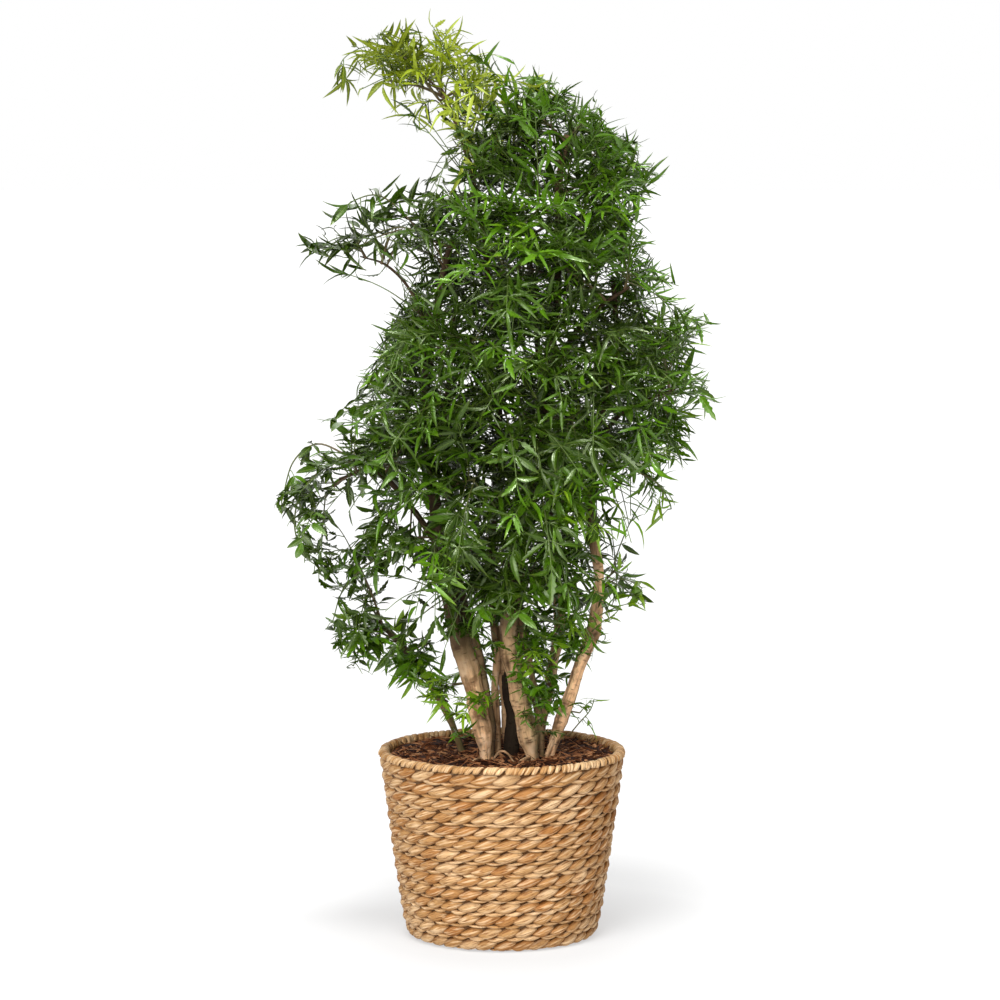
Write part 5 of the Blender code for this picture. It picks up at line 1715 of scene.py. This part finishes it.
class AraliaPlantSettings(bpy.types.PropertyGroup):
    leaflet_size: FloatProperty(
        name="Leaflet size", description="Size of every leaflet against its natural one", default=1.0,
        min=0.5, max=1.5, subtype="FACTOR")
    litter: FloatProperty(
        name="Litter", description="Chips and fibres on each square metre of potting mix",
        default=20000.0, min=0.0)
    bark_colour: FloatVectorProperty(
        name="Bark colour", description="The clean tan of the bark", subtype="COLOR", size=3,
        default=(0.92, 0.550, 0.300), min=0.0, max=1.0)
    leaf_colour: FloatVectorProperty(
        name="Leaf colour", description="The middle green of the grown leaves", subtype="COLOR", size=3,
        default=(0.0225, 0.060, 0.0006), min=0.0, max=1.0)
    young_leaf_colour: FloatVectorProperty(
        name="Young leaf colour", description="The yellow-green of the newest leaves", subtype="COLOR",
        size=3, default=(0.310, 0.400, 0.008), min=0.0, max=1.0)


class AraliaStageSettings(bpy.types.PropertyGroup):
    floor_colour: FloatVectorProperty(
        name="Floor colour", description="The pale floor", subtype="COLOR", size=3,
        default=(0.25, 0.25, 0.25), min=0.0, max=1.0)
    camera_distance: FloatProperty(
        name="Camera distance", description="From the plant's axis to the camera", default=5.0,
        min=1.0, unit="LENGTH", subtype="DISTANCE")


def tones(colour, *shares):
    return [tuple(min(1.0, share * c) for c in colour) for share in shares]


# One operator for each piece or group of like pieces


class ARALIA_OT_basket(bpy.types.Operator):
    """Plait the basket with its rim and foot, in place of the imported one"""
    bl_idname = "aralia.basket"
    bl_label = "Plaited basket"

    def execute(self, context):
        piece = make_basket_piece(context.scene.aralia_basket)
        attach(piece, "root")
        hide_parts("basket")
        return {"FINISHED"}


class ARALIA_OT_liner(bpy.types.Operator):
    """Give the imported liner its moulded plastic"""
    bl_idname = "aralia.liner"
    bl_label = "Liner"

    def execute(self, context):
        liner = frame["nodes"]["liner"]
        plastic = liner_finish()
        for slot in liner.material_slots:
            slot.material = plastic
        return {"FINISHED"}


class ARALIA_OT_soil(bpy.types.Operator):
    """Fill the basket with coir chips and fibres, in place of the packed soil"""
    bl_idname = "aralia.soil"
    bl_label = "Potting mix"

    def execute(self, context):
        piece = make_soil_piece(context.scene.aralia_plant)
        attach(piece, "root")
        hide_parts("soil")
        return {"FINISHED"}


class ARALIA_OT_trunks(bpy.types.Operator):
    """Grow the seven trunks with their boughs, knots and bark"""
    bl_idname = "aralia.trunks"
    bl_label = "Trunks"

    def execute(self, context):
        # Without a seed the vector noise, and so the sway of the trunks, is another in each run
        noise.seed_set(SEED)
        bark = bark_finish(context.scene.aralia_plant)
        for name, foot_radius, tip_radius, route in TRUNKS:
            moss, tone = BARK_LOOKS.get(name, USUAL_BARK)
            piece = trunk_piece(name, foot_radius, tip_radius, route, bark, moss, tone)
            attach(piece, "root")
            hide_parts(name)
        return {"FINISHED"}


class ARALIA_OT_foliage(bpy.types.Operator):
    """Grow the shoots, fronds and leaflets, one piece for each region of the plant"""
    bl_idname = "aralia.foliage"
    bl_label = "Foliage"

    def execute(self, context):
        settings = context.scene.aralia_plant
        deep, mid, bright = tones(settings.leaf_colour, 0.06, 1.0, 3.8)
        leaf = leaf_finish("grown_leaf", (
            (0.0, deep), (0.42, mid), (0.80, bright), (1.0, (0.19, 0.33, 0.010))),
            (0.12, 0.19, 0.020), 0.25, 0.10)
        old, fresh = tones(settings.young_leaf_colour, 0.32, 1.0)
        young = leaf_finish("new_leaf", (
            (0.0, (0.016, 0.045, 0.002)), (0.40, old), (0.75, fresh), (1.0, (0.42, 0.50, 0.06))),
            (0.42, 0.50, 0.04), 0.36, 0.32)
        stalk = stalk_finish("green_stalk", (
            (0.0, (0.13, 0.075, 0.036)), (0.40, (0.11, 0.085, 0.030)), (0.70, (0.075, 0.115, 0.020)),
            (1.0, (0.12, 0.20, 0.030))))
        lines = wood_lines()
        tree = foliage_tree()
        forms = [blade_form("leaflet_%d" % k, *shape) for k, shape in enumerate(LEAFLETS)]
        shelf = forms_collection("leaflet_forms", forms)
        for name, habit, numbers in REGIONS:
            finish = young if habit == "young" else leaf
            piece = foliage_piece(name, habit, numbers, lines, tree, shelf, settings, finish, stalk)
            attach(piece, "root")
            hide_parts(*["spray_%02d" % number for number in numbers])
        clear_forms(shelf)
        return {"FINISHED"}


FLOOR_HALF = 40.0
# Sun lamps: the name, the way each shines, its strength and its spread in degrees
LAMPS = (
    ("key", (0.04, 0.34, -1.0), 2.7, 14.0), ("top", (-0.20, 0.20, -1.0), 1.0, 70.0),
    ("front", (0.30, 0.88, -0.44), 2.9, 40.0), ("fill", (-0.85, 0.60, -0.5), 0.4, 60.0),
    ("back", (0.1, -0.8, -0.6), 1.1, 50.0),
)
WORLD_STRENGTH = 0.07
CAMERA_X = -0.0026
CAMERA_HEIGHT = 1.11
CAMERA_TILT = 83.95
CAMERA_LENS = 137.2


class ARALIA_OT_stage(bpy.types.Operator):
    """Set the pale floor, the soft studio light and the camera"""
    bl_idname = "aralia.stage"
    bl_label = "Stage"

    def execute(self, context):
        settings = context.scene.aralia_stage
        corners = [(x * FLOOR_HALF, y * FLOOR_HALF, 0.0) for x, y in ((-1, -1), (1, -1), (1, 1), (-1, 1))]
        floor = link(mesh_object("floor", corners, [(0, 1, 2, 3)], smooth=False))
        floor.data.materials.append(floor_finish(settings))
        world = bpy.data.worlds.new("studio")
        world.use_nodes = True
        sky = world.node_tree
        ground = sky.nodes["Background"]
        ground.inputs["Color"].default_value = (1.0, 1.0, 1.0, 1.0)
        seen = node(sky, "ShaderNodeLightPath").outputs["Is Camera Ray"]
        sky.links.new(range_node(sky, seen, 0.0, 1.0, WORLD_STRENGTH, 1.0), ground.inputs["Strength"])
        context.scene.world = world
        for name, way, strength, spread in LAMPS:
            data = bpy.data.lights.new(name, "SUN")
            data.energy = strength
            data.angle = math.radians(spread)
            lamp = link(bpy.data.objects.new(name, data))
            lamp.rotation_euler = Vector(way).to_track_quat("-Z", "Y").to_euler()
        camera_data = bpy.data.cameras.new("camera")
        camera_data.sensor_width = 36.0
        camera_data.lens = CAMERA_LENS
        camera_data.clip_end = 200.0
        camera = link(bpy.data.objects.new("camera", camera_data))
        camera.location = (CAMERA_X, -settings.camera_distance, CAMERA_HEIGHT)
        camera.rotation_euler = (math.radians(CAMERA_TILT), 0.0, 0.0)
        context.scene.camera = camera
        context.scene.view_settings.view_transform = "Standard"
        return {"FINISHED"}


class ARALIA_PT_pieces(bpy.types.Panel):
    """Lists the pieces of the potted aralia"""
    bl_idname = "ARALIA_PT_pieces"
    bl_label = "Potted aralia"
    bl_space_type = "VIEW_3D"
    bl_region_type = "UI"
    bl_category = "Aralia"

    def draw(self, context):
        for group, keys in (
                (context.scene.aralia_basket, ("rows", "lobes", "wraps", "lobe_rise", "fibre_colour")),
                (context.scene.aralia_plant, ("leaflet_size", "litter", "bark_colour", "leaf_colour",
                                              "young_leaf_colour")),
                (context.scene.aralia_stage, ("floor_colour", "camera_distance"))):
            box = self.layout.box()
            for key in keys:
                box.prop(group, key)
        for operator in OPERATORS:
            self.layout.operator(operator.bl_idname)


SETTINGS = (
    ("aralia_basket", AraliaBasketSettings), ("aralia_plant", AraliaPlantSettings),
    ("aralia_stage", AraliaStageSettings),
)
OPERATORS = (
    ARALIA_OT_stage, ARALIA_OT_basket, ARALIA_OT_liner, ARALIA_OT_soil, ARALIA_OT_trunks, ARALIA_OT_foliage,
)


def register():
    for key, group in SETTINGS:
        bpy.utils.register_class(group)
        setattr(bpy.types.Scene, key, PointerProperty(type=group))
    for operator in OPERATORS:
        bpy.utils.register_class(operator)
    bpy.utils.register_class(ARALIA_PT_pieces)


def unregister():
    bpy.utils.unregister_class(ARALIA_PT_pieces)
    for operator in reversed(OPERATORS):
        bpy.utils.unregister_class(operator)
    for key, group in reversed(SETTINGS):
        delattr(bpy.types.Scene, key)
        bpy.utils.unregister_class(group)


def main():
    register()
    bpy.ops.aralia.stage()
    bpy.ops.aralia.basket()
    bpy.ops.aralia.liner()
    bpy.ops.aralia.soil()
    bpy.ops.aralia.trunks()
    bpy.ops.aralia.foliage()


if __name__ == "__main__":
    main()
